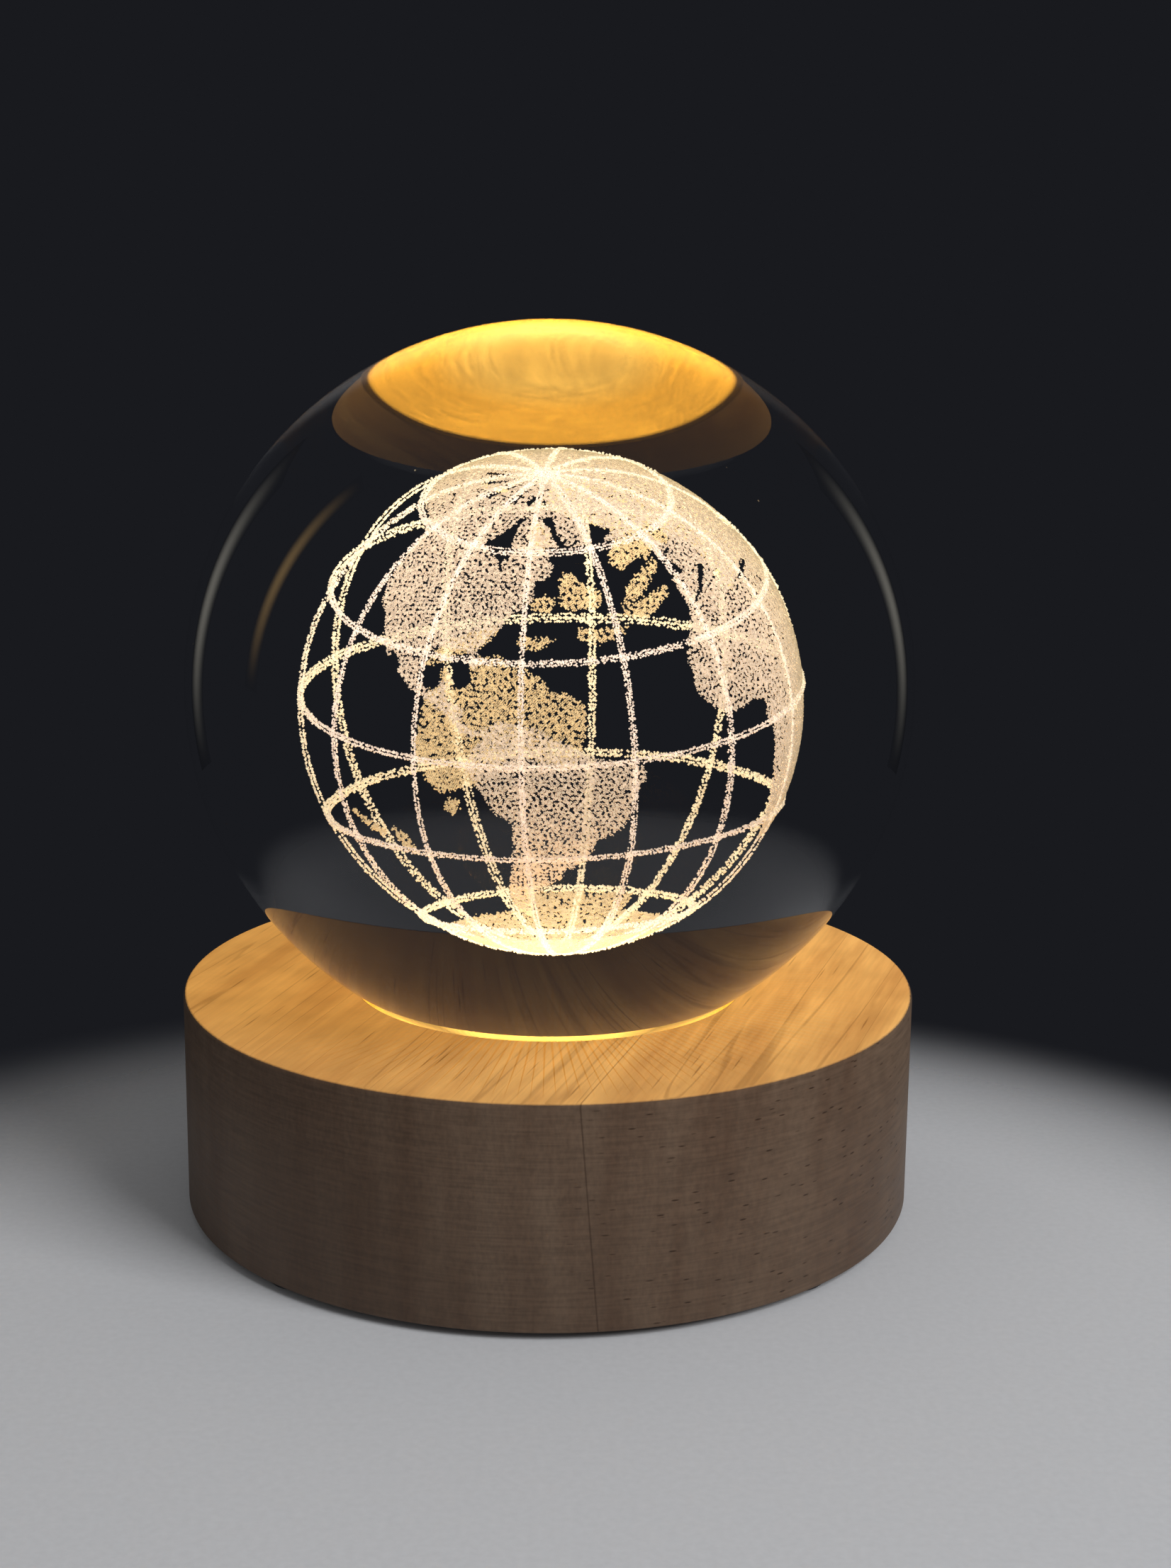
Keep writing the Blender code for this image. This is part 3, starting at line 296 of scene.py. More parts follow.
def sanded_wood():
    """Rubberwood, turned, sanded and oiled: fine brown pores along the grain, soft bands across
    it, faint sanding lines round it, two glued staves, painted shade on its side, and the lamp's
    amber light painted on its top."""
    made, tree, shader, places = start_material(
        "rubberwood_oiled", "#8C7868", 0.55, {"Specular IOR Level": 0.35})
    place = places["Object"]
    spot = add_node(tree, "ShaderNodeSeparateXYZ", {0: place}).outputs
    # The grain runs to the back and 18 degrees to the right: it becomes the local Y
    lying = add_node(tree, "ShaderNodeMapping", {
        "Vector": place, "Rotation": (0, 0, math.radians(18))})
    across = add_node(tree, "ShaderNodeSeparateXYZ", {0: lying}).outputs["X"]
    # Growth bands 5 mm apart, wavering over 40 mm along the grain
    bands = drawn_out(tree, "ShaderNodeTexNoise", lying, (1, 0.12, 0.15), 5,
                      Detail=4.0, Roughness=0.6)
    # Fibres 0.4 mm wide and 12 mm long
    fibres = drawn_out(tree, "ShaderNodeTexNoise", lying, (1, 0.033, 0.5), 0.4, Detail=2.0)
    # Sanding lines 0.3 mm apart and level; real ones are finer
    sanding = drawn_out(tree, "ShaderNodeTexNoise", place, (0.06, 0.06, 1), 0.3, Detail=1.0)
    # The lamplit top starts at the crisp outer edge
    top = add_node(tree, "ShaderNodeMapRange", {
        "Value": spot["Z"], "From Min": (BASE_TOP - 0.14) * MM, "From Max": (BASE_TOP - 0.02) * MM})

    tone = add_node(tree, "ShaderNodeMapRange", {
        "Value": bands, "From Min": 0.32, "From Max": 0.68})
    banded = add_node(tree, "ShaderNodeMix", {
        "Factor": tone, 6: hex_colour("#7A6353"), 7: hex_colour("#978474")}, data_type="RGBA")
    # The left stave is a little browner than the right one
    stave = add_node(tree, "ShaderNodeMapRange", {
        "Value": across, "From Min": (JOINT_OFFSET - 22) * MM, "From Max": JOINT_OFFSET * MM,
        "To Min": 0.45, "To Max": 0.0})
    browner = add_node(tree, "ShaderNodeMix", {
        "Factor": stave, 6: banded, 7: hex_colour("#755D4A")}, data_type="RGBA")
    # Fibres and sanding lines show more on the side than under the lamplight of the top
    streaks = add_node(tree, "ShaderNodeMath", {0: fibres, 1: sanding}, operation="ADD")
    darkest = add_node(tree, "ShaderNodeMapRange", {"Value": top, "To Min": 0.84, "To Max": 0.92})
    palest = add_node(tree, "ShaderNodeMapRange", {"Value": top, "To Min": 1.18, "To Max": 1.08})
    streak = add_node(tree, "ShaderNodeMapRange", {
        "Value": streaks, "From Min": 0.7, "From Max": 1.3, "To Min": darkest, "To Max": palest})
    grained = add_node(tree, "ShaderNodeMix", {"Factor": 1.0, 6: browner, 7: streak},
                       data_type="RGBA", blend_type="MULTIPLY")
    mark = wood_marks(tree, place, lying, across, bands, top)
    joint = glue_joint(tree, spot["Z"], across)
    dark = add_node(tree, "ShaderNodeMath", {0: mark, 1: joint}, operation="MAXIMUM")
    wood = add_node(tree, "ShaderNodeMix", {
        "Factor": dark, 6: grained, 7: hex_colour("#45301F")}, data_type="RGBA")
    # The oiled side is painted a dark grey-brown as shade, and painted lamplight turns the top
    # golden
    shaded_side_lamplit_top = add_node(tree, "ShaderNodeMix", {
        "Factor": top, 6: hex_colour("#A59C92"), 7: hex_colour("#FFE6B4")}, data_type="RGBA")
    surface = add_node(tree, "ShaderNodeMix", {"Factor": 1.0, 6: wood, 7: shaded_side_lamplit_top},
                       data_type="RGBA", blend_type="MULTIPLY")

    rough = add_node(tree, "ShaderNodeMapRange", {"Value": fibres, "To Min": 0.48, "To Max": 0.66})
    # Open pores are about 0.04 mm deep
    depth = add_node(tree, "ShaderNodeMath", {0: streak, 1: dark}, operation="SUBTRACT")
    bump = add_node(tree, "ShaderNodeBump", {
        "Height": depth, "Strength": 0.35, "Distance": 0.04 * MM})
    light, glow = lamplight(tree, place, spot, top, streak, wood)
    connect(tree, shader, {"Base Color": surface, "Roughness": rough, "Normal": bump,
                           "Emission Color": light, "Emission Strength": glow})
    made.cycles.emission_sampling = "NONE"
    return made


def frosted_acrylic():
    """Cast acrylic, sandblasted: milky and evenly lit from behind, with a faint grain."""
    made, tree, shader, places = start_material(
        "acrylic_sandblasted", "#FFF1D8", 0.6, {"IOR": 1.49})
    # Blasted grain of 0.2 mm
    grain = add_node(tree, "ShaderNodeTexNoise", {
        "Vector": places["Object"], "Scale": 1 / (0.2 * MM), "Detail": 2.0})
    glow = add_node(tree, "ShaderNodeMapRange", {"Value": grain, "To Min": 1.0, "To Max": 1.4})
    bump = add_node(tree, "ShaderNodeBump", {
        "Height": grain, "Strength": 0.4, "Distance": 0.02 * MM})
    connect(tree, shader, {
        "Emission Color": hex_colour("#FFC04F"), "Emission Strength": glow, "Normal": bump})
    made.cycles.emission_sampling = "NONE"
    return made


def moulded(name, dark, pale, roughness, grain, depth, sockets=None):
    """A moulded or cast surface with a grain of the given size and depth in millimetres."""
    made, tree, shader, places = start_material(name, pale, roughness, sockets)
    fine = add_node(tree, "ShaderNodeTexNoise", {
        "Vector": places["Object"], "Scale": 1 / (grain * MM), "Detail": 2.0})
    broad = add_node(tree, "ShaderNodeTexNoise", {
        "Vector": places["Object"], "Scale": 1 / (9 * MM), "Detail": 2.0})
    blend = add_node(tree, "ShaderNodeMath", {0: fine, 1: broad}, operation="ADD")
    tone = add_node(tree, "ShaderNodeMapRange", {"Value": blend, "From Min": 0.7, "From Max": 1.3})
    colour = add_node(tree, "ShaderNodeMix", {
        "Factor": tone, 6: hex_colour(dark), 7: hex_colour(pale)}, data_type="RGBA")
    rough = add_node(tree, "ShaderNodeMapRange", {
        "Value": broad, "From Min": 0.3, "From Max": 0.7,
        "To Min": roughness - 0.07, "To Max": roughness + 0.07})
    bump = add_node(tree, "ShaderNodeBump", {
        "Height": fine, "Strength": 0.6, "Distance": depth * MM})
    connect(tree, shader, {"Base Color": colour, "Roughness": rough, "Normal": bump})
    return made


# ---- Pieces ----


def dress(piece, material):
    """Gives a piece one material, in place of any that it has."""
    piece.data.materials.clear()
    piece.data.materials.append(material)


def finish_piece(piece, material, body, replaced=()):
    """Gives a piece its material, its body and the nodes that it replaces."""
    dress(piece, material)
    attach(piece, body)
    if replaced:
        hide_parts(*replaced)


def deselect():
    """Deselects every object, as operators act on all that is selected."""
    bpy.ops.object.select_all(action="DESELECT")


def select_only(piece):
    """Makes a piece the active one and the only one selected."""
    deselect()
    piece.select_set(True)
    bpy.context.view_layer.objects.active = piece


def keep_place(piece):
    """Moves the object's place, turn and size into its mesh."""
    select_only(piece)
    bpy.ops.object.transform_apply(location=True, rotation=True, scale=True)


def pick(piece, kind, test):
    """Selects in edit mode the faces or edges that pass a test, in millimetres."""
    shape = bmesh.from_edit_mesh(piece.data)
    for part in (*shape.verts, *shape.edges, *shape.faces):
        part.select = False
    bpy.ops.mesh.select_mode(type=kind)
    if kind == "FACE":
        for face in shape.faces:
            face.select_set(test(face.calc_center_median() / MM, face.normal))
    else:
        for edge in shape.edges:
            edge.select_set(test(edge.verts[0].co / MM, edge.verts[1].co / MM))
    bmesh.update_edit_mesh(piece.data)


def cut(piece, tools):
    """Cuts each tool out of a piece, and removes the tools."""
    for tool in tools:
        select_only(piece)
        step = piece.modifiers.new("cut", "BOOLEAN")
        step.operation = "DIFFERENCE"
        step.solver = "EXACT"
        step.object = tool
        bpy.ops.object.modifier_apply(modifier=step.name)
        bpy.data.objects.remove(tool)


def round_bar(name, radius, low, high, x=0.0, y=0.0, steps=48):
    """A closed upright cylinder to shape further, or to cut with."""
    deselect()
    bpy.ops.mesh.primitive_cylinder_add(
        vertices=steps, radius=radius * MM, depth=(high - low) * MM,
        location=(x * MM, y * MM, (low + high) / 2 * MM))
    piece = bpy.context.object
    piece.name = name
    keep_place(piece)
    return piece


def rounded_slab(name, width, height, corner, start, end, z):
    """A slab along Y with rounded corners, centred on x = 0."""
    deselect()
    bpy.ops.mesh.primitive_cube_add(size=1, location=(0, (start + end) / 2 * MM, z * MM))
    piece = bpy.context.object
    piece.name = name
    piece.scale = (width * MM, (end - start) * MM, height * MM)
    keep_place(piece)
    bpy.ops.object.mode_set(mode="EDIT")
    pick(piece, "EDGE", lambda one, two: abs(one.y - two.y) > 1)
    bpy.ops.mesh.bevel(offset=corner * MM, segments=8, affect="EDGES")
    bpy.ops.object.mode_set(mode="OBJECT")
    return piece


def glass_ball():
    """A cube, divided and drawn out to a ball, so that it has no poles."""
    deselect()
    bpy.ops.mesh.primitive_cube_add(size=2 * BALL_RADIUS * MM, location=(0, 0, 0))
    piece = bpy.context.object
    piece.name = "glass_ball"
    bpy.ops.object.mode_set(mode="EDIT")
    bpy.ops.mesh.subdivide(number_cuts=63)
    bpy.ops.transform.tosphere(value=1)
    bpy.ops.object.mode_set(mode="OBJECT")
    spots = np.empty(len(piece.data.vertices) * 3)
    piece.data.vertices.foreach_get("co", spots)
    spots = spots.reshape(-1, 3)
    spots *= BALL_RADIUS * MM / np.linalg.norm(spots, axis=1)[:, None]
    spots[:, 2] += BALL_CENTRE * MM
    piece.data.vertices.foreach_set("co", spots.ravel())
    piece.data.shade_smooth()
    return piece


def hollow(piece, end, steps):
    """Steps the face at one end in to each radius and height, and opens it at the well."""
    pick(piece, "FACE",
         lambda middle, normal: abs(normal.z) > 0.9 and abs(middle.z - end) < 0.1)
    outer, height = BASE_RADIUS, end
    for inner, level in steps:
        bpy.ops.mesh.inset(thickness=(outer - inner) * MM)
        bpy.ops.mesh.extrude_region_move(
            TRANSFORM_OT_translate={"value": (0, 0, (level - height) * MM)})
        outer, height = inner, level
    bpy.ops.mesh.inset(thickness=(outer - WELL_RADIUS) * MM)
    bpy.ops.mesh.delete(type="ONLY_FACE")


def turned_block():
    """The wooden block: a cylinder hollowed from both ends, with its edges rounded."""
    piece = round_bar("turned_block", BASE_RADIUS, BASE_BOTTOM, BASE_TOP, steps=TURNING_STEPS)
    bpy.ops.object.mode_set(mode="EDIT")
    hollow(piece, BASE_TOP, ((RECESS_RADIUS, RECESS_FLOOR), (WINDOW_BORE, WINDOW_LEDGE)))
    hollow(piece, BASE_BOTTOM, ((COVER_BORE, COVER_LEDGE), (POCKET_RADIUS, POCKET_TOP)))
    pick(piece, "EDGE", lambda one, two: all(
        abs(spot.xy.length - WELL_RADIUS) < 0.05 for spot in (one, two)))
    bpy.ops.mesh.bridge_edge_loops()
    pick(piece, "EDGE", lambda one, two: all(spot.z > BASE_TOP - 0.01 for spot in (one, two)))
    bpy.ops.mesh.bevel(offset=EDGE_ROUND * MM, segments=5, affect="EDGES")
    pick(piece, "EDGE", lambda one, two: all(
        spot.z < BASE_BOTTOM + 0.01 and spot.xy.length > BASE_RADIUS - 0.1 for spot in (one, two)))
    bpy.ops.mesh.bevel(offset=BOTTOM_CHAMFER * MM, segments=2, affect="EDGES")
    bpy.ops.mesh.select_all(action="SELECT")
    bpy.ops.mesh.normals_make_consistent(inside=False)
    bpy.ops.object.mode_set(mode="OBJECT")
    return piece


def bored_block():
    """The turned block with its bores, its bay for the inlet and its window for the rear panel."""
    piece = turned_block()
    tools = []
    for reach, turn, radius, low, high in BORES:
        x, y = reach * math.cos(math.radians(turn)), reach * math.sin(math.radians(turn))
        tools.append(round_bar("bore", radius, low, high, x, y, 32))
    bay = rounded_slab("bay", **INLET_BAY)
    window = rounded_slab("window", **PANEL_WINDOW)
    cut(window, [round_bar("core", PANEL_SEAT_RADIUS, 0, 20, steps=TURNING_STEPS)])
    cut(piece, [*tools, bay, window])
    select_only(piece)
    bpy.ops.object.shade_smooth_by_angle(angle=math.radians(30))
    return piece


# ---- Engraving ----

lean = np.array((-math.sin(LEAN_LEFT), -math.sin(LEAN_FRONT), math.cos(LEAN_FRONT)))
POLE = lean / np.linalg.norm(lean)
facing = np.array((0, -1.0, 0))
facing = facing - POLE * (facing @ POLE)
FACING = facing / np.linalg.norm(facing)
SIDEWAYS = np.cross(POLE, FACING)


def on_globe(longitude, latitude, radius=GLOBE_RADIUS):
    """Places on the globe in millimetres, from arrays of degrees."""
    turn = np.radians(np.asarray(longitude, float) - FRONT_LONGITUDE)[..., None]
    rise = np.radians(np.asarray(latitude, float))[..., None]
    level = FACING * np.cos(turn) + SIDEWAYS * np.sin(turn)
    return GLOBE_CENTRE + radius * (level * np.cos(rise) + POLE * np.sin(rise))


def crack_shape():
    """One crack's points and faces: a pyramid with a second tip drawn out of its base."""
    deselect()
    bpy.ops.mesh.primitive_cone_add(
        vertices=4, radius1=1, radius2=0, depth=1, location=(0, 0, 0.5))
    piece = bpy.context.object
    keep_place(piece)
    bpy.ops.object.mode_set(mode="EDIT")
    pick(piece, "FACE", lambda middle, normal: normal.z < -0.9)
    bpy.ops.mesh.poke(offset=1)
    bpy.ops.object.mode_set(mode="OBJECT")
    points = np.array([vertex.co[:] for vertex in piece.data.vertices])
    faces = np.array([face.vertices[:] for face in piece.data.polygons])
    bpy.data.objects.remove(piece)
    return points, faces


def scatter(name, places, sizes, shape):
    """One piece made of a crack at each place, each with its own size."""
    points, faces = shape
    spots = (places[:, None, :] + points[None] * sizes[:, None, None]) * MM
    corners = faces[None] + len(points) * np.arange(len(places))[:, None, None]
    mesh = bpy.data.meshes.new(name)
    mesh.vertices.add(spots.shape[0] * spots.shape[1])
    mesh.vertices.foreach_set("co", spots.ravel())
    mesh.loops.add(corners.size)
    mesh.loops.foreach_set("vertex_index", corners.ravel())
    mesh.polygons.add(corners.size // 3)
    mesh.polygons.foreach_set("loop_start", np.arange(0, corners.size, 3))
    mesh.polygons.foreach_set("loop_total", np.full(corners.size // 3, 3))
    mesh.update()
    mesh.validate()
    piece = bpy.data.objects.new(name, mesh)
    bpy.context.scene.collection.objects.link(piece)
    return piece


def line_dots(chance):
    """Places along the parallels and meridians, in rows round a line, uneven as laser shots."""
    spots = []
    for latitude in PARALLELS:
        around = GLOBE_RADIUS * math.tau * math.cos(math.radians(latitude))
        count = int(around / SHOT_STEP)
        for row, out in SHOT_ROWS:
            turn = 360 * (np.arange(count) + chance.random()) / count
            rise = latitude + math.degrees(row / GLOBE_RADIUS)
            rise = rise + chance.normal(0, LINE_WANDER, count)
            turn = turn + chance.normal(0, LINE_WANDER, count)
            spots.append(on_globe(turn, rise, GLOBE_RADIUS + out))
    level = np.arange(-89.5, 89.5, math.degrees(SHOT_STEP / GLOBE_RADIUS))
    for longitude in MERIDIANS:
        for row, out in SHOT_ROWS:
            # The rows keep their distance as the degrees of longitude narrow towards the poles
            sway = math.degrees(row * 0.9 / GLOBE_RADIUS)
            sway = np.clip(sway / np.maximum(np.cos(np.radians(level)), 0.02), -14, 14)
            turn = longitude + sway + chance.normal(0, LINE_WANDER, len(level))
            rise = level + chance.normal(0, LINE_WANDER, len(level))
            spots.append(on_globe(turn, rise, GLOBE_RADIUS + out))
    spots = np.concatenate(spots)
    spots = spots[chance.random(len(spots)) < SHOT_SHARE]
    return spots + chance.normal(0, LINE_SCATTER, spots.shape)


def inside_outline(longitude, latitude, outline):
    """Whether each place lies inside an outline of longitudes and latitudes."""
    corners = np.array(outline, float)
    turn = (longitude - corners[0, 0] + 180) % 360 - 180 + corners[0, 0]
    found = np.zeros(len(turn), bool)
    for (x1, y1), (x2, y2) in zip(corners, np.roll(corners, -1, 0)):
        if y1 != y2:
            crosses = (y1 > latitude) != (y2 > latitude)
            found ^= crosses & (turn < x1 + (latitude - y1) / (y2 - y1) * (x2 - x1))
    return found


# Outlines as longitude and latitude on this globe, whose lands lie some 7 degrees east of where
# they would be on its lines
LANDS = {
    "north_america": (
        (-150, 61), (-139, 61), (-132, 60), (-127, 58), (-123.5, 57), (-121, 55), (-119, 51),
        (-118.3, 45), (-117.5, 41), (-116, 38.3), (-114.6, 36), (-112, 35), (-110, 33.7),
        (-108.5, 31), (-107.2, 28.4), (-105, 26.2), (-102.7, 24.2), (-101.8, 24.7), (-102.5, 26),
        (-100, 25.4), (-98.2, 23.4), (-98, 20.9), (-95, 19), (-91.6, 17.5), (-88.3, 16.2),
        (-85.2, 14.6), (-80.8, 12.9), (-78.8, 10.8), (-76.5, 8.6), (-73, 7.4), (-70.5, 8.6),
        (-73.6, 9.8), (-76, 11.3), (-76.3, 15.2), (-80.8, 16), (-81.8, 18.3), (-80.2, 21.2),
        (-83.5, 21.3), (-84.2, 18.8), (-87.3, 18.4), (-90, 20), (-91, 22.5), (-90.2, 26.5),
        (-89, 28.8), (-86, 29.6), (-82.5, 29.8), (-81, 29.4), (-77.5, 30), (-76.2, 28.4),
        (-75.2, 25.2), (-73.6, 24.6), (-73.2, 27), (-73.9, 30.2), (-72.3, 31.5), (-70.3, 33.7),
        (-68, 35.9), (-66.2, 38), (-64.3, 40), (-62.3, 41.2), (-60.6, 42), (-60.8, 43.6),
        (-58.3, 43.2), (-57.3, 45), (-57.2, 47.5), (-56.3, 49.7), (-53.5, 50.1), (-50.8, 51.4),
        (-49.5, 54), (-50.8, 56.5), (-52.5, 61)),
    "south_america": (
        (-75, -1), (-74.5, 1), (-73, 4), (-70.5, 7), (-71, 9.5), (-66, 12), (-59, 11.2),
        (-54.5, 10), (-51, 7.5), (-46, 5.2), (-42.5, 2.6), (-37, 1), (-31, 0), (-27.4, -2),
        (-27.2, -5), (-28.6, -7.5), (-30.2, -9.5), (-30.9, -13), (-31.8, -16.5), (-33.3, -19),
        (-36.3, -20.3), (-38.7, -21), (-40.4, -21.8), (-41, -24.8), (-43.5, -28), (-46.4, -30.3),
        (-49.3, -31.4), (-50, -34), (-53, -35.6), (-56, -37), (-58.5, -40), (-60.5, -44),
        (-59.5, -48), (-62, -50), (-65.5, -47.5), (-67, -42.5), (-66.9, -38), (-66.4, -35.3),
        (-65.4, -32.4), (-64.4, -29), (-63.9, -25.5), (-63.5, -21), (-63.1, -16.6), (-65, -14.5),
        (-67.9, -12.4), (-69.8, -9), (-71.4, -6.4), (-73.4, -4), (-73.7, -2.4)),
    "africa": (
        (-2, 36), (3, 37), (10, 38.2), (15.5, 38), (19, 37), (23, 35.5), (25, 33.5), (29, 33),
        (35, 33.3), (38.5, 33), (41, 28), (44.5, 21), (48.5, 14), (53, 12.5), (58.5, 13), (56, 7),
        (51, 1), (47, -4), (47, -13), (43, -21), (40, -27), (35, -32), (27, -33.5), (25, -30),
        (23, -24), (21, -18), (19.6, -11), (19.6, -5), (18, -1.6), (16, 0.8), (15.4, 2.5),
        (16.2, 4.4), (15.2, 6.2), (12.6, 6.9), (11, 8.1), (8, 7.3), (4, 6.9), (0, 6.6), (-3, 8.4),
        (-5.3, 10.3), (-7.5, 12.3), (-9.4, 14.3), (-9.9, 16.5), (-9.3, 19.3), (-10.1, 22.5),
        (-9.4, 25.2), (-6.5, 29.5), (-3.5, 33)),
    "eurasia": (
        (-2.4, 36), (-2.5, 44), (0, 44.8), (5, 45), (3.6, 47.4), (1.5, 49.5), (5, 51), (8.3, 53.4),
        (12, 54.8), (13.5, 58), (11.5, 61), (60, 62), (120, 62), (190, 62), (185, 61), (172, 60),
        (168, 56), (165, 52), (163, 57), (160, 60), (150, 59), (143, 56), (147, 50), (142, 45),
        (137, 42), (136, 37.5), (134, 36), (132, 39), (129, 41), (126, 40), (129, 36), (127, 33.5),
        (129.5, 30.5), (127, 27), (124, 24.3), (120, 22.8), (115, 21.3), (113.5, 19), (116, 14.5),
        (115.5, 12), (113, 10.8), (111, 12.8), (109, 15), (107.5, 13.8), (105.5, 17), (102, 19),
        (99, 21.5), (95.5, 20), (92.5, 16.5), (90, 13), (88.2, 10.8), (86.3, 10.8), (84.5, 13.8),
        (81.8, 18), (79.5, 20.8), (76, 25), (68, 27.5), (64, 28), (60, 30.5), (56.5, 32), (60, 27),
        (66, 24.5), (62, 20), (55, 16), (50, 14.5), (46, 20), (42.5, 27), (41.5, 31)),
    "britain": (
        (-1.5, 50.6), (4.5, 51.6), (7, 53.6), (4.5, 55.5), (3, 58.5), (-1, 59.3), (-3, 56),
        (-1.5, 53.5)),
    "madagascar": ((50.5, -18), (53, -12.5), (56.5, -9.5), (57.5, -13), (54.5, -22.5), (51.5, -23)),
    "australia": (
        (121.2, -18), (125, -15.6), (129, -14.8), (130.5, -12.5), (134, -10.2), (137.2, -9.3),
        (139.2, -7.5), (143.5, -7.2), (145.2, -9), (145.2, -11.8), (147.5, -13.4), (149.2, -12.8),
        (150, -8.2), (151.2, -8), (151.6, -11.8), (154.6, -12), (156, -14.2), (158, -18),
        (160.2, -21.5), (161, -24.6), (160.4, -28), (159.2, -31), (157.8, -33), (155, -33.6),
        (151.5, -32.8), (147.5, -32.6), (144.5, -30.4), (141, -29.6), (138, -27.6), (133, -28.4),
        (129, -30), (124.5, -31), (122.4, -28.5), (121.4, -24)),
    "tasmania": (
        (152.6, -35), (154.5, -34.7), (157.3, -35.1), (157.5, -36.6), (155.8, -38.2),
        (154.2, -37.9), (153.2, -36.5)),
    "new_zealand": (
        (179, -37.5), (181, -36.6), (184, -34.4), (186.8, -31), (188.2, -31.4), (186, -34.8),
        (182.5, -38.4), (179.4, -39.2)),
    "southern_island": (
        (172.4, -44.6), (172, -41), (174.4, -38.4), (177, -38), (176.6, -42), (174.6, -45)),
    "new_guinea": (
        (139, -1), (143, -1.8), (148, -2.5), (153, -5), (155, -7.2), (150, -6.8), (146, -5.8),
        (142, -5), (139.5, -3)),
    "borneo": (
        (121.8, 7.4), (123.4, 9.5), (125.6, 9.8), (126.6, 7), (126.2, 2.6), (124, 1.2), (121.2, 2),
        (118.4, 2.2), (117.8, 5), (119.5, 6.4)),
    "sulawesi": ((127.4, 3.8), (129.4, 4.8), (132, 3.9), (132.4, 2.3), (130, 0.9), (128, 1.2)),
    "java": (
        (112.5, -1.6), (117, -2.2), (122.4, -2.4), (123, -4.4), (119.5, -5.6), (116, -4.5),
        (113.5, -3)),
    "timor": (
        (127.7, -4.6), (129.5, -4), (132, -4.4), (134.5, -3.4), (135.4, -5), (132.5, -6.6),
        (129.5, -6)),
    "sumatra": (
        (103.2, 7.4), (104.2, 8.2), (107, 6.2), (109.5, 4.6), (112.5, 2.8), (113.5, 0.8),
        (109, 0.6), (106.8, 2.2), (104.5, 4.8)),
    "malaya": (
        (105, 13.6), (106.5, 14.2), (108.4, 12), (110.4, 9.5), (112.4, 7), (113.2, 4.5),
        (113.7, 1.2), (111.5, 3.5), (109.5, 5.5), (108, 7.6), (106.6, 10), (105.4, 11.8)),
    "philippines": (
        (128, 16.6), (127.7, 20), (129.5, 22.8), (131.6, 23.2), (132.3, 20), (132, 16.4),
        (130, 15.2)),
    "japan": (
        (137.5, 33.5), (141, 36), (146, 38), (148, 43.5), (151, 46), (149, 42), (147, 37),
        (142, 34.5), (138, 32)),
}
SEAS = {
    "hudson_bay": (
        (-84.5, 60.3), (-81, 62.3), (-79, 63.7), (-75, 66.2), (-71.5, 69), (-69, 70.6), (-66.3, 70),
        (-69.3, 67.5), (-70, 65), (-70.2, 60.2), (-69.3, 57), (-72.2, 55.4), (-71.2, 52.4),
        (-72.7, 52.5), (-74, 55.7), (-78.5, 56.7)),
    "davis_strait": (
        (-56, 70.3), (-47, 71), (-46.8, 67), (-44.5, 63), (-42.5, 60), (-45.8, 60), (-48.5, 63.5),
        (-50.5, 66.8)),
    "denmark_strait": (
        (-29.5, 60), (-27, 62.5), (-26, 65), (-23, 68), (-20, 65.5), (-12.5, 63), (-18, 61.5),
        (-24, 60)),
    "arctic_sound_1": (
        (-126, 71.5), (-121, 75.6), (-116, 79.5), (-106, 82.2), (-107, 79), (-112, 74)),
    "arctic_sound_2": (
        (-91, 71.5), (-92, 75.3), (-90.5, 78.2), (-82, 81.6), (-82.5, 77.2), (-86, 73.2)),
    "arctic_sound_3": ((-148, 74.5), (-135, 81.6), (-131, 80.8), (-143, 74)),
    "arctic_sound_4": ((-169, 75), (-156, 83.4), (-150, 82.2), (-164, 74.5)),
    "arctic_sound_5": ((-76, 76.3), (-66, 78.9), (-59, 79.9), (-62, 76.4), (-70, 75.4)),
    "arctic_sound_6": ((-57.5, 74.6), (-53.5, 79), (-50.5, 74.6)),
    "baffin_inlets": ((-65.5, 63.5), (-62, 61.8), (-60.8, 61.2), (-63, 63), (-64.5, 64.4)),
    "western_mediterranean": (
        (-1.5, 35.4), (3, 36.8), (6.5, 38.3), (9.5, 40.3), (13.5, 42.3), (15.7, 43.9), (14.2, 44.6),
        (11, 43.4), (8.3, 41.3), (5.8, 39), (2.4, 37.3), (-1.5, 36.4)),
    "ionian_sea": ((15, 39.4), (18, 40.6), (20.5, 41.4), (21, 39.2), (17.5, 38.4)),
    "eastern_mediterranean": (
        (27, 34.8), (30, 36.2), (36, 37), (40, 37), (40, 35.6), (35, 35), (31, 34.2)),
    "bay_of_biscay": (
        (-2, 44.9), (5.2, 44.9), (3.8, 47.2), (1.8, 48.2), (1.6, 49.6), (-1, 50.3), (-2, 50)),
    "channel": (
        (-1, 49.9), (5, 50.9), (8, 53.1), (12, 54.6), (12, 55.1), (7.6, 53.9), (4.7, 51.5),
        (-1, 50.6)),
    "caspian_sea": ((55, 42), (58, 47), (61, 46), (60, 38), (57, 38)),
}


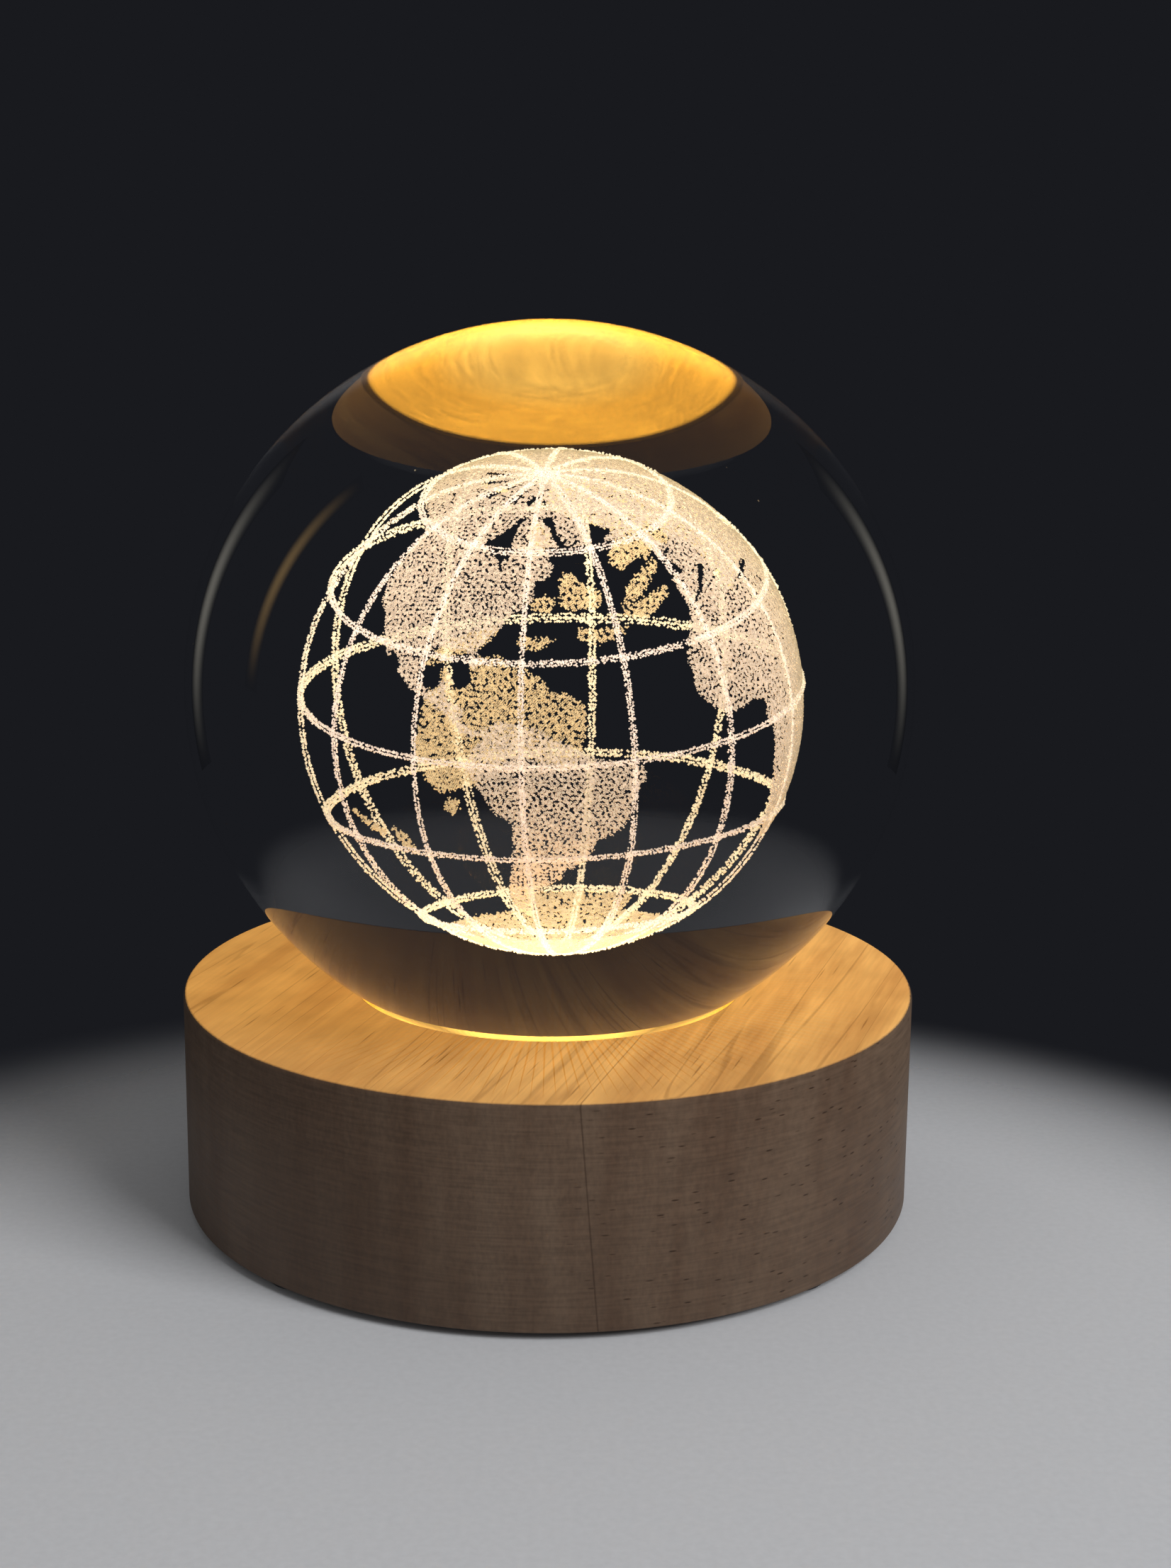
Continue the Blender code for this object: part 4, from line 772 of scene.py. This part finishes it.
def land_dots(chance):
    """Places that fill the lands with a maze of worm-like strokes, MAZE_LENGTH apart."""
    # Places tried, spread evenly over the globe in a spiral that turns by the golden angle
    order = np.arange(LAND_PLACES) + 0.5
    rise = np.degrees(np.arcsin(1 - 2 * order / LAND_PLACES))
    turn = (order * 180 * (math.sqrt(5) - 1)) % 360 - 180
    ragged_turn = turn + chance.normal(0, RAGGED_COAST, LAND_PLACES)
    ragged_rise = rise + chance.normal(0, RAGGED_COAST, LAND_PLACES)
    # The southern land reaches the line round it only on the far side
    land = ((ragged_rise < -64.5) | (ragged_rise > 60)
            | ((ragged_rise < -59.5) & (abs(turn - 122) < 26)))
    for outline in LANDS.values():
        land |= inside_outline(ragged_turn, ragged_rise, outline)
    for outline in SEAS.values():
        land &= ~inside_outline(ragged_turn, ragged_rise, outline)
    spots = on_globe(turn[land], rise[land])
    waves = chance.normal(size=(MAZE_WAVES, 3))
    waves *= (math.tau / MAZE_LENGTH) / np.linalg.norm(waves, axis=1)[:, None]
    maze = np.cos(spots @ waves.T + chance.uniform(0, math.tau, MAZE_WAVES)).sum(1)
    # The far half is engraved more densely
    spots = spots[maze > np.where(spots[:, 1] < 0, *MAZE_LEVELS)]
    return spots + chance.normal(0, LAND_SCATTER, spots.shape)


def engrave():
    """The globe's lines and lands, each cut up from front to back into pieces of moderate size."""
    chance = np.random.default_rng(7)
    shape = crack_shape()
    coarse = cracked_glass("glass_laser_cracked_coarse", "#F8E0CC", "#FFEBC0", 1.2)
    fine = cracked_glass("glass_laser_cracked_fine", "#F5DABC", "#DDC28E", 0.9)
    lines = line_dots(chance)
    land = land_dots(chance)
    for name, spots, size, finish in (("globe_lines", lines, LINE_CRACK, coarse),
                                      ("globe_lands", land, LAND_CRACK, fine)):
        parts = math.ceil(len(spots) * len(shape[1]) / MOST_TRIANGLES)
        order = np.argsort(spots[:, 1], kind="stable")
        for index, group in enumerate(np.array_split(order, parts), 1):
            sizes = size * chance.uniform(0.7, 1.2, len(group))
            piece = scatter(f"{name}_{index}", spots[group], sizes, shape)
            # Cracks let most light through, so they don't shade what the glass mirrors
            piece.visible_glossy = piece.visible_shadow = False
            finish_piece(piece, finish, "ball")


# ---- Studio ----


def set_camera():
    """The photograph's point of view, worked out from the outlines of the ball and the base."""
    pitch, yaw, roll = (math.radians(turn) for turn in CAMERA_TURN)
    forward = Vector((
        math.sin(yaw) * math.cos(pitch), math.cos(yaw) * math.cos(pitch), -math.sin(pitch)))
    level = Vector((math.cos(yaw), -math.sin(yaw), 0))
    right = level * math.cos(roll) + level.cross(forward) * math.sin(roll)
    turned = Matrix((right, right.cross(forward), -forward)).transposed().to_4x4()
    data = bpy.data.cameras.new("camera")
    data.sensor_fit = "VERTICAL"
    data.sensor_height = SENSOR_HEIGHT
    data.lens = SENSOR_HEIGHT * FOCAL_PIXELS / PHOTO_HEIGHT
    data.clip_start = 0.01
    camera = bpy.data.objects.new("camera", data)
    bpy.context.scene.collection.objects.link(camera)
    camera.matrix_world = Matrix.Translation(CAMERA_PLACE) @ turned
    bpy.context.scene.camera = camera


def aim(place, target, front):
    """The turn that points an object's front, one of its axes, from a place to a target."""
    return (Vector(target) - Vector(place)).to_track_quat(front, "Y").to_euler()


def area_lamp(name, place, size, power):
    """A lamp that points at the middle of the object, and that glass and gloss don't show."""
    data = bpy.data.lights.new(name, "AREA")
    data.shape = "RECTANGLE"
    data.size, data.size_y = size
    data.energy = power
    lamp = bpy.data.objects.new(name, data)
    bpy.context.scene.collection.objects.link(lamp)
    lamp.location = place
    lamp.rotation_euler = aim(place, (0, 0, 0.05), "-Z")
    lamp.visible_glossy = lamp.visible_transmission = False


def pale_floor():
    """A pale table top, lit round the lamp and fading into the dark away from it."""
    made, tree, shader, places = start_material("table_paint_matt", "#B6B7BA", 0.7)
    # The paint's grain is 0.8 mm
    grain = add_node(tree, "ShaderNodeTexNoise", {
        "Vector": places["Object"], "Scale": 1 / (0.8 * MM), "Detail": 2.0})
    tone = add_node(tree, "ShaderNodeMix", {
        "Factor": grain, 6: hex_colour("#B0B1B4"), 7: hex_colour("#BCBDC0")}, data_type="RGBA")
    # It fades sooner behind the lamp, where the ball would show it upside down
    reach = add_node(tree, "ShaderNodeVectorMath", {0: places["Object"], 1: (0, -45 * MM, 0)},
                     operation="DISTANCE")
    fade = add_node(tree, "ShaderNodeMapRange", {
        "Value": reach, "From Min": 72 * MM, "From Max": 118 * MM, "To Min": 1.0, "To Max": 0.0},
        interpolation_type="SMOOTHSTEP")
    clear = add_node(tree, "ShaderNodeBsdfTransparent")
    blend = add_node(tree, "ShaderNodeMixShader", {0: fade, 1: clear, 2: shader})
    connect(tree, shader, {"Base Color": tone})
    connect(tree, tree.nodes["Material Output"], {"Surface": blend})
    floor = round_bar("floor", 150, -2, 0, steps=256)
    dress(floor, made)


def soft_card(name, place, size, colour, strength):
    """A card with soft edges that shows only as a faint reflection on the glass."""
    deselect()
    bpy.ops.mesh.primitive_plane_add(size=1, location=place)
    card = bpy.context.object
    card.name = name
    card.scale = (*size, 1)
    card.rotation_euler = aim(place, (0, 0, BALL_CENTRE * MM), "Z")
    made, tree, shader, places = start_material(name, "#000000", 1.0)
    across = add_node(tree, "ShaderNodeSeparateXYZ", {0: places["UV"]}).outputs
    fades = []
    for axis in ("X", "Y"):
        middle = add_node(tree, "ShaderNodeMath", {0: across[axis], 1: 0.5}, operation="SUBTRACT")
        middle = add_node(tree, "ShaderNodeMath", {0: middle}, operation="ABSOLUTE")
        fades.append(add_node(tree, "ShaderNodeMapRange", {
            "Value": middle, "From Min": 0.0, "From Max": 0.5, "To Min": 1.0, "To Max": 0.0},
            interpolation_type="SMOOTHSTEP"))
    fade = add_node(tree, "ShaderNodeMath", {0: fades[0], 1: fades[1]}, operation="MULTIPLY")
    glow = add_node(tree, "ShaderNodeMath", {0: fade, 1: strength}, operation="MULTIPLY")
    connect(tree, shader, {"Emission Color": hex_colour(colour), "Emission Strength": glow})
    dress(card, made)
    card.visible_camera = card.visible_diffuse = False
    card.visible_transmission = card.visible_shadow = False


def dark_room():
    """A world that lights softly from all round, and looks dark itself."""
    world = bpy.data.worlds.new("studio")
    bpy.context.scene.world = world
    world.use_nodes = True
    tree = world.node_tree
    tree.nodes.clear()
    path = add_node(tree, "ShaderNodeLightPath").outputs
    seen = add_node(tree, "ShaderNodeMath", {
        0: path["Is Camera Ray"], 1: path["Is Glossy Ray"]}, operation="MAXIMUM")
    seen = add_node(tree, "ShaderNodeMath", {
        0: seen, 1: path["Is Transmission Ray"]}, operation="MAXIMUM")
    light = add_node(tree, "ShaderNodeBackground", {
        "Color": hex_colour("#FFFFFF"), "Strength": 0.3})
    backdrop = add_node(tree, "ShaderNodeBackground", {
        "Color": hex_colour("#191A1E"), "Strength": 1.0})
    mix = add_node(tree, "ShaderNodeMixShader", {0: seen, 1: light, 2: backdrop})
    add_node(tree, "ShaderNodeOutputWorld", {0: mix})


def studio():
    """The lamps, the cards round the object, the world and the floor."""
    area_lamp("key_lamp", (0.60, -0.52, 0.66), (0.5, 0.5), 10)
    area_lamp("fill_lamp", (-0.7, -0.5, 0.35), (0.4, 0.6), 0.4)
    soft_card("left_card", (-0.55, 0.10, 0.28), (0.07, 0.55), "#D8B070", 2.2)
    soft_card("left_rear_card", (-0.45, 0.50, 0.10), (0.16, 0.5), "#B8B4A8", 0.9)
    soft_card("right_rear_card", (0.45, 0.50, 0.10), (0.16, 0.5), "#B8B4A8", 0.9)
    dark_room()
    pale_floor()


# ---- The scene ----

glass = optical_glass()
wood = sanded_wood()
finish_piece(glass_ball(), glass, "ball", ["crystal_ball"])
finish_piece(bored_block(), wood, "base", ["wooden_base"])
engrave()

black_abs = moulded("abs_moulded", "#141415", "#1E1E20", 0.5, 0.25, 0.02)
steel = moulded("steel_zinc_plated", "#9B9C9E", "#C6C7C9", 0.35, 0.3, 0.01, {"Metallic": 1.0})
rubber = moulded("silicone_rubber_moulded", "#2C2C2D", "#3A3A3B", 0.75, 0.2, 0.03)
white_board = moulded("solder_mask_white", "#D8D7D0", "#E8E7E0", 0.4, 0.5, 0.02)
green_board = moulded("solder_mask_green", "#0F4F2A", "#1A6638", 0.35, 0.5, 0.02)
phosphor = moulded("phosphor_cast", "#D9B23A", "#F0CF5A", 0.5, 0.1, 0.02)
ceramic = moulded("ceramic_glazed", "#17171A", "#242428", 0.25, 0.2, 0.01)
red_wire = moulded("pvc_extruded_red", "#8E1512", "#A81C17", 0.4, 0.4, 0.01)
black_wire = moulded("pvc_extruded_black", "#151515", "#202020", 0.4, 0.4, 0.01)
# Each node takes the finish of the longest of these starts that its name has
finishes = {
    "light_window": frosted_acrylic(), "led_board": white_board, "led_board_screw": steel,
    "led_resistor": ceramic, "led_": phosphor, "inlet_board_screw": steel,
    "inlet_board": green_board, "inlet_resistor": ceramic, "inlet_socket_shell": steel,
    "inlet_socket_tongue": black_abs, "power_switch": black_abs, "power_button": black_abs,
    "rear_panel": black_abs, "red_lead": red_wire, "black_lead": black_wire,
    "bottom_cover": black_abs, "cover_screw": steel, "foot": rubber,
}
for name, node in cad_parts.items():
    starts = [start for start in finishes if name.startswith(start)]
    if starts:
        dress(node, finishes[max(starts, key=len)])

set_camera()
studio()
bpy.context.scene.view_settings.view_transform = "Standard"
